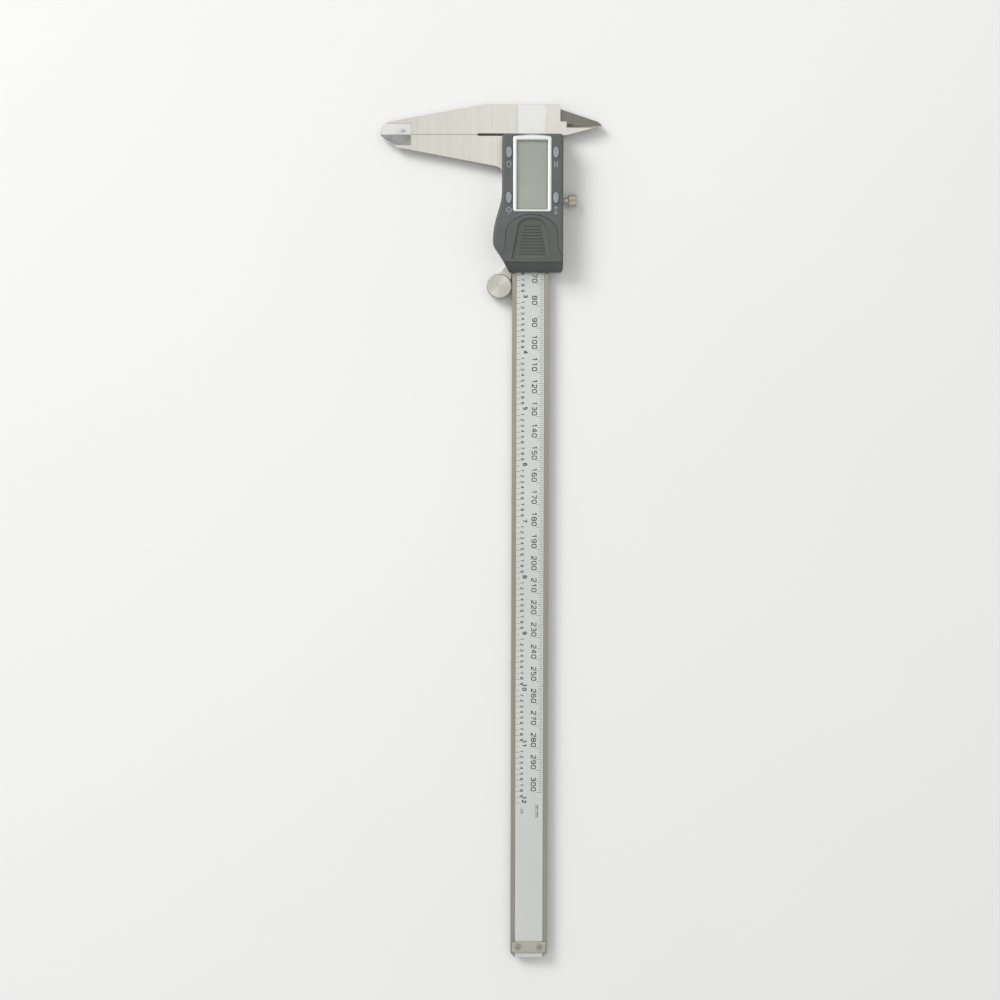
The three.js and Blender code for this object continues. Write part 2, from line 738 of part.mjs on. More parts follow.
function cutRollerBearing(frame) {
  const place = [rollerX, rollerY];
  const bore = [frameBack - cutPast, armFront + cutPast];
  const counterbore = [frameBack - cutPast, frameBack + rollerCounterbore];
  frame = frame.subtract(upright(rollerStubRadius + seatGap, place, bore));
  return frame.subtract(upright(rollerScrewHead + seatGap, place, counterbore));
}

function makeSliderFrame(parent) {
  let frame = plate(frameBodyOutline(), [frameBack, frameFront]);
  frame = frame.add(plate(movingOutsideJawOutline(), [back, front]));
  frame = frame.add(plate(movingInsideJawOutline(), [back, -lapGap]));
  frame = frame.add(plate(rollerArmOutline(), [frameBack, armFront]));

  const throughX = [sliderStart - cutPast, sliderEnd + cutPast];
  const gibX = [gibStart - seatGap, gibEnd + seatGap];
  const beamZ = [webInner, bridgeInner];
  frame = frame.subtract(box(throughX, [wallInner, gibInner], beamZ));
  frame = frame.subtract(box(gibX, [0, upperInner], beamZ));
  frame = frame.subtract(plate(boardOutline(0), [boardFloor, frameFront + cutPast]));
  frame = frame.subtract(box([boardStart, boardEnd], [wallInner, upperInner], [front, frameFront]));

  for (const side of [1, -1]) frame = frame.subtract(tipWedge(closedGap, 1, side));
  const knifeStart = insideRootY + movingRootRise + nibNotchLength;
  frame = frame.subtract(knifeBevel(insideZero + closedGap, -1, knifeStart));
  frame = cutScrewHoles(frame);
  frame = cutRollerBearing(frame);

  const wiperPocket = [bridgeInner - cutPast, wiperBase + wiperDepth + seatGap];
  for (const x of wiperXs) {
    frame = frame.subtract(box(span(x, wiperLength, seatGap), span(0, channelWidth, -seatGap), wiperPocket));
  }
  addPiece(parent, 'slider_frame_with_moving_jaws', frame, steel);
}

// ---- Gib, lock and depth rod ------------------------------------------------------------------------

function makeGib(parent) {
  const stripZ = [back + seatGap, front - seatGap];
  const strip = box([gibStart, gibEnd], [gibInner, gibInner + gibThickness], stripZ);
  addPiece(parent, 'gib_strip', strip, bronze);

  const length = frameHigh - gibScrewSink - pressY;
  const slotY = [length - gibSlotDepth, length + cutPast];
  const slot = box(span(0, gibSlotWidth), slotY, span(0, 2 * gibScrewRadius, cutPast));
  const screw = crossways(gibScrewRadius, 0, [0, length]).subtract(slot);
  const [jawEnd, tailEnd] = gibScrewXs;
  const places = { jaw_end: [jawEnd, pressY, 0], tail_end: [tailEnd, pressY, 0] };
  addCopies(parent, 'gib_screw', screw, brightSteel, places);
}

function makeLock(parent) {
  const group = groupAt(parent, [lockScrewX, pressY, 0]);
  addPiece(group, 'lock_shoe', crossways(lockScrewRadius - seatGap, 0, [0, lockShoeLength]), bronze);

  const tip = lockShoeLength + seatGap;
  const headBase = frameHigh + lockNeckLength - pressY;
  const inHead = headBase + joinBite;
  const shank = crossways(lockScrewRadius, 0, [tip, inHead], discSides);
  const collarY = [headBase - lockCollarLength, inHead];
  const collar = crossways(lockScrewRadius + lockCollarRise, 0, collarY, discSides);
  const head = knurledDisc(lockHeadRadius, lockHeadTeeth, lockHeadLength, lockHeadEdge);
  const headSolid = solidFrom(head.rotateX(-Math.PI / 2).translate(0, headBase, 0));
  addPiece(group, 'lock_screw', shank.add(collar).add(headSolid), brightSteel);
}

function makeDepthRod(parent) {
  const low = back + (rodGrooveDepth - rodThickness) / 2;
  const high = low + rodThickness;
  const [start, end] = [sliderEnd - rodOverlap, beamEnd - seatGap];
  const side = -rodWidth / 2 - cutPast;
  const through = [low - cutPast, high + cutPast];
  const notch = polygon([[end - rodNotch, side], [end + cutPast, side], [end + cutPast, 0], [end, 0]]);
  let rod = box([start, end], span(0, rodWidth), [low, high]);
  rod = rod.subtract(plate(notch, through));
  rod = rod.subtract(upright(rodPinRadius + seatGap, [rodPinX, 0], through, screwSides));
  addPiece(parent, 'depth_rod', rod, brightSteel);

  const pin = upright(rodPinRadius, [0, 0], [frameBack + seatGap, high - seatGap], screwSides);
  addPiece(parent, 'depth_rod_pin', pin, brightSteel, [rodPinX, 0, 0]);
}

// ---- Thumb roller -----------------------------------------------------------------------------------

function makeRoller(parent) {
  const group = groupAt(parent, [rollerX, rollerY, 0]);
  const axis = [0, 0];
  const low = back - rollerBack;
  const high = front + rollerFront;
  const stubEnd = frameBack + rollerCounterbore + bondGap;
  const boreTop = back + rollerBoreDepth;
  const disc = knurledDisc(rollerRadius, rollerTeeth, high - low, rollerEdge);
  let roller = solidFrom(disc.translate(0, 0, low));
  roller = roller.add(upright(rollerStubRadius, axis, [stubEnd, low + rollerEdge + joinBite]));
  const bore = [stubEnd - cutPast, boreTop];
  roller = roller.subtract(upright(rollerScrewRadius + seatGap, axis, bore, screwSides));
  addPiece(group, 'thumb_roller', roller, brightSteel);

  const headBase = frameBack + bondGap;
  const headTop = headBase + rollerHeadHeight;
  let screw = upright(rollerScrewHead - seatGap, axis, [headBase, headTop]);
  screw = screw.add(upright(rollerScrewRadius, axis, [headTop - joinBite, boreTop - blindGap], screwSides));
  const recess = [headBase - cutPast, headBase + rollerHeadHeight * recessShare];
  screw = screw.subtract(crossRecess(rollerScrewHead * recessShare, recess));
  addPiece(group, 'roller_screw', screw, brightSteel);

  const washer = upright(rollerScrewHead - seatGap, axis, [headTop + bondGap, stubEnd - seatGap]);
  const through = [headTop - cutPast, stubEnd + cutPast];
  const hole = upright(rollerScrewRadius + seatGap, axis, through, screwSides);
  addPiece(group, 'roller_spring_washer', washer.subtract(hole), brightSteel);
}

// ---- Wipers -----------------------------------------------------------------------------------------

function makeWipers(parent) {
  const felt = box(span(0, wiperLength), span(0, channelWidth, -2 * seatGap), [0, wiperDepth]);
  const [jawEnd, tailEnd] = wiperXs;
  const places = { jaw_end: [jawEnd, 0, wiperBase], tail_end: [tailEnd, 0, wiperBase] };
  addCopies(parent, 'scale_wiper', felt, greyFelt, places);
}

// ---- Circuit board and display ----------------------------------------------------------------------

function makeBoard(parent) {
  addPiece(parent, 'circuit_board', plate(boardOutline(2 * seatGap), [boardBase, boardTop]), circuitGreen);

  const ball = new THREE.SphereGeometry(chipRadius, discSides, screwSides);
  const around = span(0, 2 * chipRadius, cutPast);
  const drop = solidFrom(ball.scale(1, 1, chipHeight / chipRadius));
  const dome = drop.intersect(box(around, around, [0, chipHeight + cutPast]));
  addPiece(parent, 'controller_chip', dome, epoxyBlack, [displayX, displayY, boardTop + seatGap]);
}

function makeDisplay(parent) {
  const group = groupAt(parent, [displayX, displayY, 0]);
  const length = span(0, displayLength, bezelSkirt);
  const width = span(0, displayWidth, bezelSkirt);
  addPiece(group, 'lcd_panel', box(length, width, [panelBase, panelTop]), displayGrey);

  const zebraZ = [boardTop + seatGap, panelBase - seatGap];
  const zebra = box(span(0, displayLength, -zebraEndGap), span(0, zebraWidth), zebraZ);
  const zebraY = displayWidth / 2 + bezelSkirt - zebraInset - zebraWidth / 2;
  addCopies(group, 'zebra_connector', zebra, blackRubber, { lower: [0, -zebraY, 0], upper: [0, zebraY, 0] });

  const windowZ = [housingTop - windowThickness, housingTop];
  const pane = box(span(0, displayLength, -seatGap), span(0, displayWidth, -seatGap), windowZ);
  addPiece(group, 'lcd_window', pane, clearWindow);

  const base = housingTop + seatGap;
  const top = base + bezelHeight;
  const bezelX = [-displayLength / 2 - bezelBand, displayLength / 2 + bezelTailBand];
  const outline = roundedRectangle(bezelX, span(0, displayWidth, bezelBand), bezelCorner, bezelBow);
  const opening = box(span(0, displayLength), span(0, displayWidth), [panelTop, top + cutPast]);
  let bezel = plate(outline, [base, top]);
  bezel = bezel.add(box(length, width, [housingTop - bezelSkirtDepth, base + joinBite]));
  addPiece(group, 'lcd_bezel', bezel.subtract(opening), silverTrim);
}

// ---- Buttons ----------------------------------------------------------------------------------------

function makeButtons(parent) {
  const size = [buttonLength, buttonWidth];
  const centre = [0, 0];
  const flangeTop = cavityTop - seatGap;
  const flangeBase = flangeTop - buttonFlangeThickness;
  const switchBase = boardTop + seatGap;
  const switchTop = switchBase + switchHeight;
  const stem = [switchTop + buttonTravel + seatGap, flangeBase + joinBite];
  let button = plate(ellipse(centre, size), [flangeTop - joinBite, housingTop + buttonRise]);
  button = button.add(plate(ellipse(centre, size, buttonFlange), [flangeBase, flangeTop]));
  button = button.add(upright(buttonStemRadius, centre, stem, screwSides));

  const bodyTop = switchTop - switchPlunger;
  let tact = box(span(0, switchLength), span(0, switchWidth), [switchBase, bodyTop]);
  tact = tact.add(upright(buttonStemRadius - seatGap, centre, [bodyTop - joinBite, switchTop], screwSides));

  const places = {};
  for (const [name, place] of Object.entries(buttonPlaces)) places[name] = [...place, 0];
  addCopies(parent, 'button', button, buttonGrey, places);
  addCopies(parent, 'switch', tact, contactMetal, places);
}

// ---- Battery ----------------------------------------------------------------------------------------

function makeBattery(parent) {
  const group = groupAt(parent, [cellX, cellY, boardTop]);
  const axis = [0, 0];
  const stepTop = cellLift + cellStep;
  let cell = upright(cellRadius, axis, [stepTop, cellLift + cellHeight], cellSides);
  cell = cell.add(upright(cellRadius - cellStep, axis, [cellLift, stepTop + joinBite], cellSides));
  addPiece(group, 'button_cell', cell, cellSteel);

  const low = seatGap;
  const lowTop = low + contactThickness;
  const touchTop = cellLift - seatGap;
  const touchLow = touchTop - contactThickness;
  const foot = -cellRadius * contactReach;
  const bend = foot + contactFoot;
  const tongue = polygon([
    [foot, low],
    [bend, low],
    [bend + contactRamp, touchLow],
    [contactTip, touchLow],
    [contactTip, touchTop],
    [bend + contactRamp - seatGap, touchTop],
    [bend - seatGap, lowTop],
    [foot, lowTop],
  ]);
  addPiece(group, 'battery_contact_negative', rail(tongue, span(0, negativeWidth)), contactMetal);

  const wall = cellRadius + contactGap;
  const strapTop = deckBase - strapDrop - boardTop;
  const strap = polygon([
    [wall, low],
    [wall + strapFoot, low],
    [wall + strapFoot, lowTop],
    [wall + contactThickness, lowTop],
    [wall + contactThickness, strapTop],
    [wall, strapTop],
  ]);
  addPiece(group, 'battery_contact_positive', rail(strap, span(0, positiveWidth)), contactMetal);

  const ring = new THREE.TorusGeometry(sealRadius, sealTube, curveSteps, ringSides);
  const ringZ = deckTop + sealProud - sealTube - boardTop;
  addPiece(group, 'battery_seal_ring', solidFrom(ring), blackRubber, [0, 0, ringZ]);
}

// The cover's outline, grown by a clearance, running out past the housing's tail end.
function coverOutline(grow) {
  const half = coverHalfWidth + grow;
  const wide = half + coverFlare;
  const archX = coverStart + coverArch;
  const end = housingEnd + cutPast;
  const bend = (coverFlareStart + coverFlareEnd) / 2;
  const shape = new THREE.Shape();
  shape.moveTo(end, coverY - wide);
  shape.lineTo(end, coverY + wide);
  shape.lineTo(coverFlareEnd, coverY + wide);
  shape.quadraticCurveTo(bend, coverY + half, coverFlareStart, coverY + half);
  shape.lineTo(archX, coverY + half);
  shape.absellipse(archX, coverY, coverArch + grow, half, Math.PI / 2, 1.5 * Math.PI);
  shape.lineTo(coverFlareStart, coverY - half);
  shape.quadraticCurveTo(bend, coverY - half, coverFlareEnd, coverY - wide);
  return shape;
}

const dishHalf = (x) => dishNarrow + ((dishWide - dishNarrow) * (x - dishStart)) / (dishEnd - dishStart);

function dishFloorOutline() {
  const roundX = dishStart + dishRound;
  const half = dishHalf(roundX);
  const shape = new THREE.Shape();
  shape.moveTo(dishEnd, coverY - dishWide);
  shape.lineTo(dishEnd, coverY + dishWide);
  shape.lineTo(roundX, coverY + half);
  shape.quadraticCurveTo(dishStart, coverY + half, dishStart, coverY);
  shape.quadraticCurveTo(dishStart, coverY - half, roundX, coverY - half);
  return shape;
}

// The hollow of the thumb grip: its sides curve up from the floor until they are upright at the rim.
function dishHollow() {
  const slope = { bevelThickness: dishDepth, bevelSize: dishSlope, bevelSegments: dishSteps };
  const options = { ...slope, depth: cutPast, curveSegments: curveSteps };
  const geometry = new THREE.ExtrudeGeometry(dishFloorOutline(), options);
  return solidFrom(geometry.translate(0, 0, housingTop));
}

function makeBatteryCover(parent) {
  let cover = plate(coverOutline(0), [coverBase, housingTop + cutPast]).intersect(housingBlock());
  const tongueX = [coverStart + coverArch + cutPast, coverFlareStart + cutPast];
  const tongueY = span(coverY, 2 * coverHalfWidth, coverTongue);
  cover = cover.add(box(tongueX, tongueY, [coverBase, coverBase + coverTongue]));

  cover = cover.subtract(dishHollow());
  const dishFloor = housingTop - dishDepth;
  for (let i = 0; i < ridgeCount; i++) {
    const x = dishEnd - ridgeInset - i * ridgePitch;
    const ridgeY = span(coverY, 2 * dishHalf(x), -ridgeInset / 2);
    cover = cover.add(box(span(x, ridgeWidth), ridgeY, [dishFloor - joinBite, dishFloor + ridgeHeight]));
  }
  addPiece(parent, 'battery_cover', cover, coverPlastic);
}

// ---- Housing ----------------------------------------------------------------------------------------

function housingOutline() {
  const r = housingCorner;
  const bulgeLow = housingLow - housingBulge;
  const flatEnd = bulgeEnd - bulgeCorner;
  const flatStart = flatEnd - bulgeFlat;
  const shape = new THREE.Shape();
  shape.moveTo(housingStart + r, housingLow);
  shape.lineTo(bulgeStart, housingLow);
  shape.bezierCurveTo(
    bulgeStart + bulgeEaseIn, housingLow,
    flatStart - bulgeEaseOut, bulgeLow,
    flatStart, bulgeLow,
  );
  shape.quadraticCurveTo(flatEnd, bulgeLow, bulgeEnd, bulgeLow + bulgeCorner);
  shape.lineTo(housingEnd - frameCornerCut, housingLow);
  shape.lineTo(housingEnd, frameLow + frameCornerRise);
  shape.lineTo(housingEnd, housingHigh - r);
  shape.absarc(housingEnd - r, housingHigh - r, r, 0, Math.PI / 2);
  shape.lineTo(housingStart + r, housingHigh);
  shape.absarc(housingStart + r, housingHigh - r, r, Math.PI / 2, Math.PI);
  shape.lineTo(housingStart, housingLow + r);
  shape.absarc(housingStart + r, housingLow + r, r, Math.PI, 1.5 * Math.PI);
  return shape;
}

// Everything past the leaning tail end of the housing.
function tailSlope() {
  const run = housingSlope / housingHeight;
  const at = (z) => housingEnd - run * (z - housingBase);
  const [low, high] = [housingBase - cutPast, housingTop + cutPast];
  const past = housingEnd + beyond;
  const lean = polygon([[at(low), low], [past, low], [past, high], [at(high), high]]);
  return rail(lean, [housingLow - beyond, housingHigh + beyond]);
}

// The housing's outer shape, filled in. Its lower rounded edge is made below the base and cut off.
function housingBlock() {
  const below = 2 * housingEdge;
  const edge = { bevelThickness: housingEdge, bevelSize: housingEdge, bevelOffset: -housingEdge };
  const depth = housingHeight - housingEdge + below;
  const options = { ...edge, bevelSegments: housingEdgeSteps, depth, curveSegments: curveSteps };
  const geometry = new THREE.ExtrudeGeometry(housingOutline(), options);
  const block = solidFrom(geometry.translate(0, 0, housingBase - below));
  const under = [housingBase - below - housingEdge - cutPast, housingBase];
  const aroundX = [housingStart - beyond, housingEnd + beyond];
  const aroundY = [housingLow - beyond, housingHigh + beyond];
  return block.subtract(box(aroundX, aroundY, under)).subtract(tailSlope());
}

function bulgePocketOutline() {
  const low = housingLow - housingBulge + housingWall;
  const high = housingLow + housingWall + joinBite;
  return polygon([
    [bulgeEnd - bulgePocketStart, high],
    [bulgeEnd - bulgePocketFloor, low],
    [bulgeEnd - bulgeCorner, low],
    [bulgeEnd + housingWall / 2, high],
  ]);
}

// The rooms inside the housing: a deep one under the display, and a lower one under the battery cover.
function hollowOut(housing) {
  const below = housingBase - cutPast;
  const cavityX = [housingStart + housingWall, coverStart - coverLedge];
  const cavityY = [housingLow + housingWall, housingHigh - housingWall];
  housing = housing.subtract(box(cavityX, cavityY, [below, cavityTop]));
  housing = housing.subtract(box([cavityX[1] - cutPast, cavityEnd], cavityY, [below, deckBase]));
  return housing.subtract(plate(bulgePocketOutline(), [below, deckBase]));
}

// The battery's well, its seal groove and contact slot, and the seat and side grooves of its cover.
function cutBatteryBay(housing) {
  const place = [cellX, cellY];
  const wellBase = boardTop + wellGap;
  const wellBore = upright(cellRadius + cellGap, place, [wellBase - cutPast, housingTop], cellSides);
  const strapX = [cellX + cellRadius, cellX + cellRadius + contactGap + strapFoot + contactSlotGap];
  const strapY = span(cellY, positiveWidth, contactSlotGap);
  const strapTop = deckBase - strapDrop + contactSlotGap;
  housing = housing.subtract(wellBore);
  housing = housing.subtract(box(strapX, strapY, [wellBase - cutPast, strapTop]));
  housing = housing.subtract(plate(coverOutline(slideGap), [deckTop, housingTop + cutPast]));

  const grooveX = [coverStart + coverArch, housingEnd + cutPast];
  const grooveY = span(coverY, 2 * coverHalfWidth, coverTongue + slideGap);
  housing = housing.subtract(box(grooveX, grooveY, [deckTop, coverBase + coverTongue + slideGap]));

  const sealZ = [deckTop - 2 * sealTube - seatGap, deckTop + cutPast];
  const sealOuter = upright(sealRadius + sealTube + seatGap, place, sealZ, ringSides);
  const sealCore = [sealZ[0] - cutPast, sealZ[1] + cutPast];
  const sealInner = upright(sealRadius - sealTube - seatGap, place, sealCore, ringSides);
  return housing.subtract(sealOuter.subtract(sealInner));
}

function makeHousing(parent) {
  let housing = hollowOut(housingBlock());
  const wellZ = [boardTop + wellGap, deckBase + joinBite];
  housing = housing.add(upright(cellRadius + cellGap + wellWall, [cellX, cellY], wellZ, cellSides));
  for (const place of Object.values(caseScrews)) {
    const boss = upright(bossRadius, place, [housingBase, deckBase + joinBite]);
    housing = housing.add(boss.subtract(tailSlope()));
  }
  housing = cutBatteryBay(housing);

  const roof = [cavityTop - cutPast, housingTop + cutPast];
  const opening = bezelSkirt + seatGap;
  const openingY = span(displayY, displayWidth, opening);
  housing = housing.subtract(box(span(displayX, displayLength, opening), openingY, roof));
  for (const place of Object.values(buttonPlaces)) {
    housing = housing.subtract(plate(ellipse(place, [buttonLength, buttonWidth], seatGap), roof));
  }
  for (const place of Object.values(caseScrews)) {
    const bite = [housingBase - cutPast, housingBase + caseScrewBite + blindGap];
    housing = housing.subtract(upright(caseScrewRadius + seatGap, place, bite, screwSides));
  }
  addPiece(parent, 'display_housing', housing, blackPlastic);
}

function makeGasket(parent) {
  const ring = plate(frameBodyOutline(gasketInset), [gasketBase, gasketBase + gasketThickness]);
  const through = [gasketBase - cutPast, gasketBase + gasketThickness + cutPast];
  let gasket = ring.subtract(plate(frameBodyOutline(gasketInset + gasketWidth), through));
  for (const place of Object.values(caseScrews)) {
    gasket = gasket.subtract(upright(caseScrewRadius + seatGap, place, through, screwSides));
  }
  addPiece(parent, 'housing_gasket', gasket, blackRubber);
}

function makeHousingScrews(parent) {
  const low = frameBack + bondGap;
  const recess = [low - cutPast, low + caseHeadHeight * recessShare];
  let screw = upright(caseHeadRadius, [0, 0], [low, frameBack + caseHeadHeight]);
  const shank = [low + joinBite, housingBase + caseScrewBite];
  screw = screw.add(upright(caseScrewRadius, [0, 0], shank, screwSides));
  screw = screw.subtract(crossRecess(caseHeadRadius * recessShare, recess));

  const places = {};
  for (const [name, place] of Object.entries(caseScrews)) places[name] = [...place, 0];
  addCopies(parent, 'housing_screw', screw, brightSteel, places);
}

// ---- Assembly ---------------------------------------------------------------------------------------

const caliper = new THREE.Group();
const fixedSide = groupAt(caliper);
const slider = groupAt(caliper);

for (const make of [makeBeam, makeScale, makeEndStop]) make(fixedSide);

const sliderMakers = [
  makeSliderFrame, makeGib, makeLock, makeDepthRod, makeRoller, makeWipers, makeBoard, makeDisplay,
  makeButtons, makeBattery, makeBatteryCover, makeHousing, makeGasket, makeHousingScrews,
];
for (const make of sliderMakers) make(slider);

const bounds = new THREE.Box3().setFromObject(caliper);
const centre = bounds.getCenter(new THREE.Vector3());
caliper.position.set(-centre.x, -centre.y, -bounds.min.z);

export default caliper;
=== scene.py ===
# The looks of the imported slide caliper: a material for every CAD node, the printed scale, the button marks
# and the display's bezel. Lengths are in metres in the row frame. X runs along the beam from the jaws to
# its tail, and Z up.

import math

import bmesh
import bpy
from mathutils import Matrix, Vector


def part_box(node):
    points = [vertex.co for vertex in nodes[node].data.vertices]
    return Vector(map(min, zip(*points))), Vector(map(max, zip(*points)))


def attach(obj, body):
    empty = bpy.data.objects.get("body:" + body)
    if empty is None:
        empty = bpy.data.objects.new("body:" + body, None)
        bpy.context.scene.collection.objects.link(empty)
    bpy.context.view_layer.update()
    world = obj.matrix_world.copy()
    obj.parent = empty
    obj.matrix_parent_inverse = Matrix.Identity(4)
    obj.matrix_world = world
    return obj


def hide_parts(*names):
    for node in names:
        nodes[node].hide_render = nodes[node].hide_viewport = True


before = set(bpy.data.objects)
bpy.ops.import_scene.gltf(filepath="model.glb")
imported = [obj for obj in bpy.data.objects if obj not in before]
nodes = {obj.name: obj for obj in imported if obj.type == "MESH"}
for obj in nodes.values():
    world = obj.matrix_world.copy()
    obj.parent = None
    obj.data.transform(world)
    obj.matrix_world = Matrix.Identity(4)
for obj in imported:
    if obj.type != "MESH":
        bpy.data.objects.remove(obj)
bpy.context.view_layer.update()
MM = 0.001


def srgb(red, green, blue):
    def linear(value):
        value /= 255
        return value / 12.92 if value <= 0.04045 else ((value + 0.055) / 1.055) ** 2.4

    return (linear(red), linear(green), linear(blue), 1.0)


# ---- Material graphs ------------------------------------------------------------------------------------

NOISE_RANGE = (0.3, 0.7)  # most of what a noise node gives lies between these
EDGE_RANGE = (0.75, 0.98)  # cosine between the true normal and the rounded one, at an edge and on a flat
BEVEL_SAMPLES = 6


class Graph:
    """The nodes of one material, with short calls for the few kinds used here."""

    def __init__(self, name):
        self.material = bpy.data.materials.new(name)
        self.material.use_nodes = True
        self.tree = self.material.node_tree
        self.tree.nodes.clear()
        self.place = self.add("ShaderNodeTexCoord").outputs["Object"]
        split = self.add("ShaderNodeSeparateXYZ", {"Vector": self.place})
        self.x, self.y, self.z = split.outputs

    def add(self, kind, inputs=None, **settings):
        node = self.tree.nodes.new(kind)
        for key, value in settings.items():
            setattr(node, key, value)
        for key, value in (inputs or {}).items():
            if isinstance(value, bpy.types.NodeSocket):
                self.tree.links.new(value, node.inputs[key])
            else:
                node.inputs[key].default_value = value
        return node

    def math(self, operation, *values):
        return self.add("ShaderNodeMath", dict(enumerate(values)), operation=operation).outputs[0]

    def product(self, *values):
        result = values[0]
        for value in values[1:]:
            result = self.math("MULTIPLY", result, value)
        return result

    def remap(self, value, low, high, to_low, to_high):
        inputs = {"Value": value, "From Min": low, "From Max": high, "To Min": to_low, "To Max": to_high}
        return self.add("ShaderNodeMapRange", inputs, interpolation_type="SMOOTHSTEP").outputs[0]

    def vary(self, noise, low, high):
        """A noise stretched to run from low to high."""
        return self.remap(noise, *NOISE_RANGE, low, high)

    def within(self, value, low, high, soft=0.05 * MM):
        """1 between low and high, and 0 outside them."""
        rise = self.remap(value, low - soft, low + soft, 0.0, 1.0)
        fall = self.remap(value, high - soft, high + soft, 1.0, 0.0)
        return self.math("MULTIPLY", rise, fall)

    def noise(self, per_metre, detail=2.0, roughness=0.5, shift=0.0):
        """Noise with a number of features per metre: one number, or one for each axis."""
        scale = per_metre if isinstance(per_metre, tuple) else (per_metre,) * 3
        inputs = {"Vector": self.place, "Scale": scale, "Location": (shift,) * 3}
        mapped = self.add("ShaderNodeMapping", inputs)
        inputs = {"Vector": mapped.outputs[0], "Scale": 1.0, "Detail": detail, "Roughness": roughness}
        return self.add("ShaderNodeTexNoise", inputs).outputs[0]

    def mix(self, share, first, second):
        inputs = {"Factor": share, 6: first, 7: second}
        return self.add("ShaderNodeMix", inputs, data_type="RGBA").outputs[2]

    def blend(self, share, first, second):
        inputs = {0: share, 2: first, 3: second}
        return self.add("ShaderNodeMix", inputs, data_type="FLOAT").outputs[0]

    def shade(self, colour, factor):
        """The colour made lighter or darker by a factor."""
        if isinstance(colour, tuple):
            colour = colour[:3]
        inputs = {0: colour, "Scale": factor}
        return self.add("ShaderNodeVectorMath", inputs, operation="SCALE").outputs[0]

    def rounded(self, radius):
        """The normal of a surface whose edges are rounded, and how near the surface is to such an edge."""
        soft = self.add("ShaderNodeBevel", {"Radius": radius}, samples=BEVEL_SAMPLES).outputs[0]
        true = self.add("ShaderNodeNewGeometry").outputs["Normal"]
        turn = self.add("ShaderNodeVectorMath", {0: soft, 1: true}, operation="DOT_PRODUCT")
        return soft, self.remap(turn.outputs["Value"], *EDGE_RANGE, 1.0, 0.0)

    def bump(self, height, depth, normal, strength=1.0):
        inputs = {"Height": height, "Distance": depth, "Strength": strength, "Normal": normal}
        return self.add("ShaderNodeBump", inputs).outputs[0]

    def finish(self, colour, roughness, normal, **sockets):
        inputs = {"Base Color": colour, "Roughness": roughness, "Normal": normal}
        inputs.update({key.replace("_", " "): value for key, value in sockets.items()})
        shader = self.add("ShaderNodeBsdfPrincipled", inputs)
        self.add("ShaderNodeOutputMaterial", {"Surface": shader.outputs[0]})
        return self.material


def stretched(axis, along, across):
    """Noise frequencies for grain that runs along one axis."""
    return tuple(along if name == axis else across for name in "XYZ")


# Features per metre along grinding lines and across them, and of turned rings.
GROUND_FINE, GROUND_BROAD = (45.0, 4600.0), (9.0, 620.0)
TURNED_FINE, TURNED_BROAD = 3600.0, 700.0
CLOUDS_PER_METRE, WEAR_PER_METRE, SWELLS_PER_METRE = 38.0, 240.0, 95.0
LINE_DEPTH = 4e-6
SWELL_DEPTH = 0.8 * MM  # unevenness of hand polishing, which breaks up what it mirrors
POLISHED = 0.2  # a zone smoother than this is polished


def ground_steel(name, colour, roughness, axis="X", grain=1.0, zones=(), edge=0.15 * MM, turned=None):
    """Steel with grinding lines along an axis, or turned rings round a centre.

    Each zone is a box of low and high corners with its own colour, roughness and grain.
    """
    graph = Graph(name)
    if turned:
        east = graph.math("SUBTRACT", graph.x, turned[0])
        north = graph.math("SUBTRACT", graph.y, turned[1])
        squares = graph.math("ADD", graph.product(east, east), graph.product(north, north))
        radius = graph.math("SQRT", squares)
        inputs = {"W": graph.product(radius, TURNED_FINE), "Scale": 1.0, "Detail": 2.0}
        fine = graph.add("ShaderNodeTexNoise", inputs, noise_dimensions="1D").outputs[0]
        inputs = {"W": graph.product(radius, TURNED_BROAD), "Scale": 1.0, "Detail": 1.0}
        broad = graph.add("ShaderNodeTexNoise", inputs, noise_dimensions="1D").outputs[0]
    else:
        fine = graph.noise(stretched(axis, *GROUND_FINE), 3.0)
        broad = graph.noise(stretched(axis, *GROUND_BROAD), 2.0, shift=3.0)
    cloud = graph.noise(CLOUDS_PER_METRE, 3.0, shift=7.0)
    lines = graph.math("ADD", graph.product(fine, 0.7), graph.product(broad, 0.3))
    light = graph.vary(lines, 1.0 - 0.07 * grain, 1.0 + 0.055 * grain)
    light = graph.product(light, graph.vary(cloud, 0.98, 1.015))
    base, rough, share, polish = colour, roughness, 1.0, 0.0
    for low, high, zone_colour, zone_roughness, zone_grain in zones:
        spans = zip((graph.x, graph.y, graph.z), low, high)
        mask = graph.product(*[graph.within(value, *span) for value, *span in spans])
        base = graph.mix(mask, base, zone_colour)
        rough = graph.blend(mask, rough, zone_roughness)
        share = graph.blend(mask, share, zone_grain)
        if zone_roughness < POLISHED:
            polish = graph.math("MAXIMUM", polish, mask)
    normal, edges = graph.rounded(edge)
    light = graph.blend(share, 1.0, light)
    base = graph.shade(base, graph.math("ADD", light, graph.product(edges, 0.16)))
    wear = graph.remap(graph.noise(WEAR_PER_METRE, 4.0, shift=11.0), 0.35, 0.7, -0.02, 0.03)
    streaks = graph.vary(lines, 0.035, -0.035)
    rough = graph.math("ADD", rough, graph.product(graph.math("ADD", wear, streaks), share))
    rough = graph.math("SUBTRACT", rough, graph.product(edges, 0.08))
    normal = graph.bump(lines, LINE_DEPTH, normal, 0.4 * grain)
    if polish:
        swell = graph.product(graph.noise(SWELLS_PER_METRE, 1.0, shift=9.0), polish)
        normal = graph.bump(swell, SWELL_DEPTH, normal)
    if turned:
        radial = graph.add("ShaderNodeTangent", direction_type="RADIAL", axis="Z").outputs[0]
        return graph.finish(base, rough, normal, Metallic=1.0, Anisotropic=0.7, Tangent=radial)
    return graph.finish(base, rough, normal, Metallic=1.0, Anisotropic=0.35)


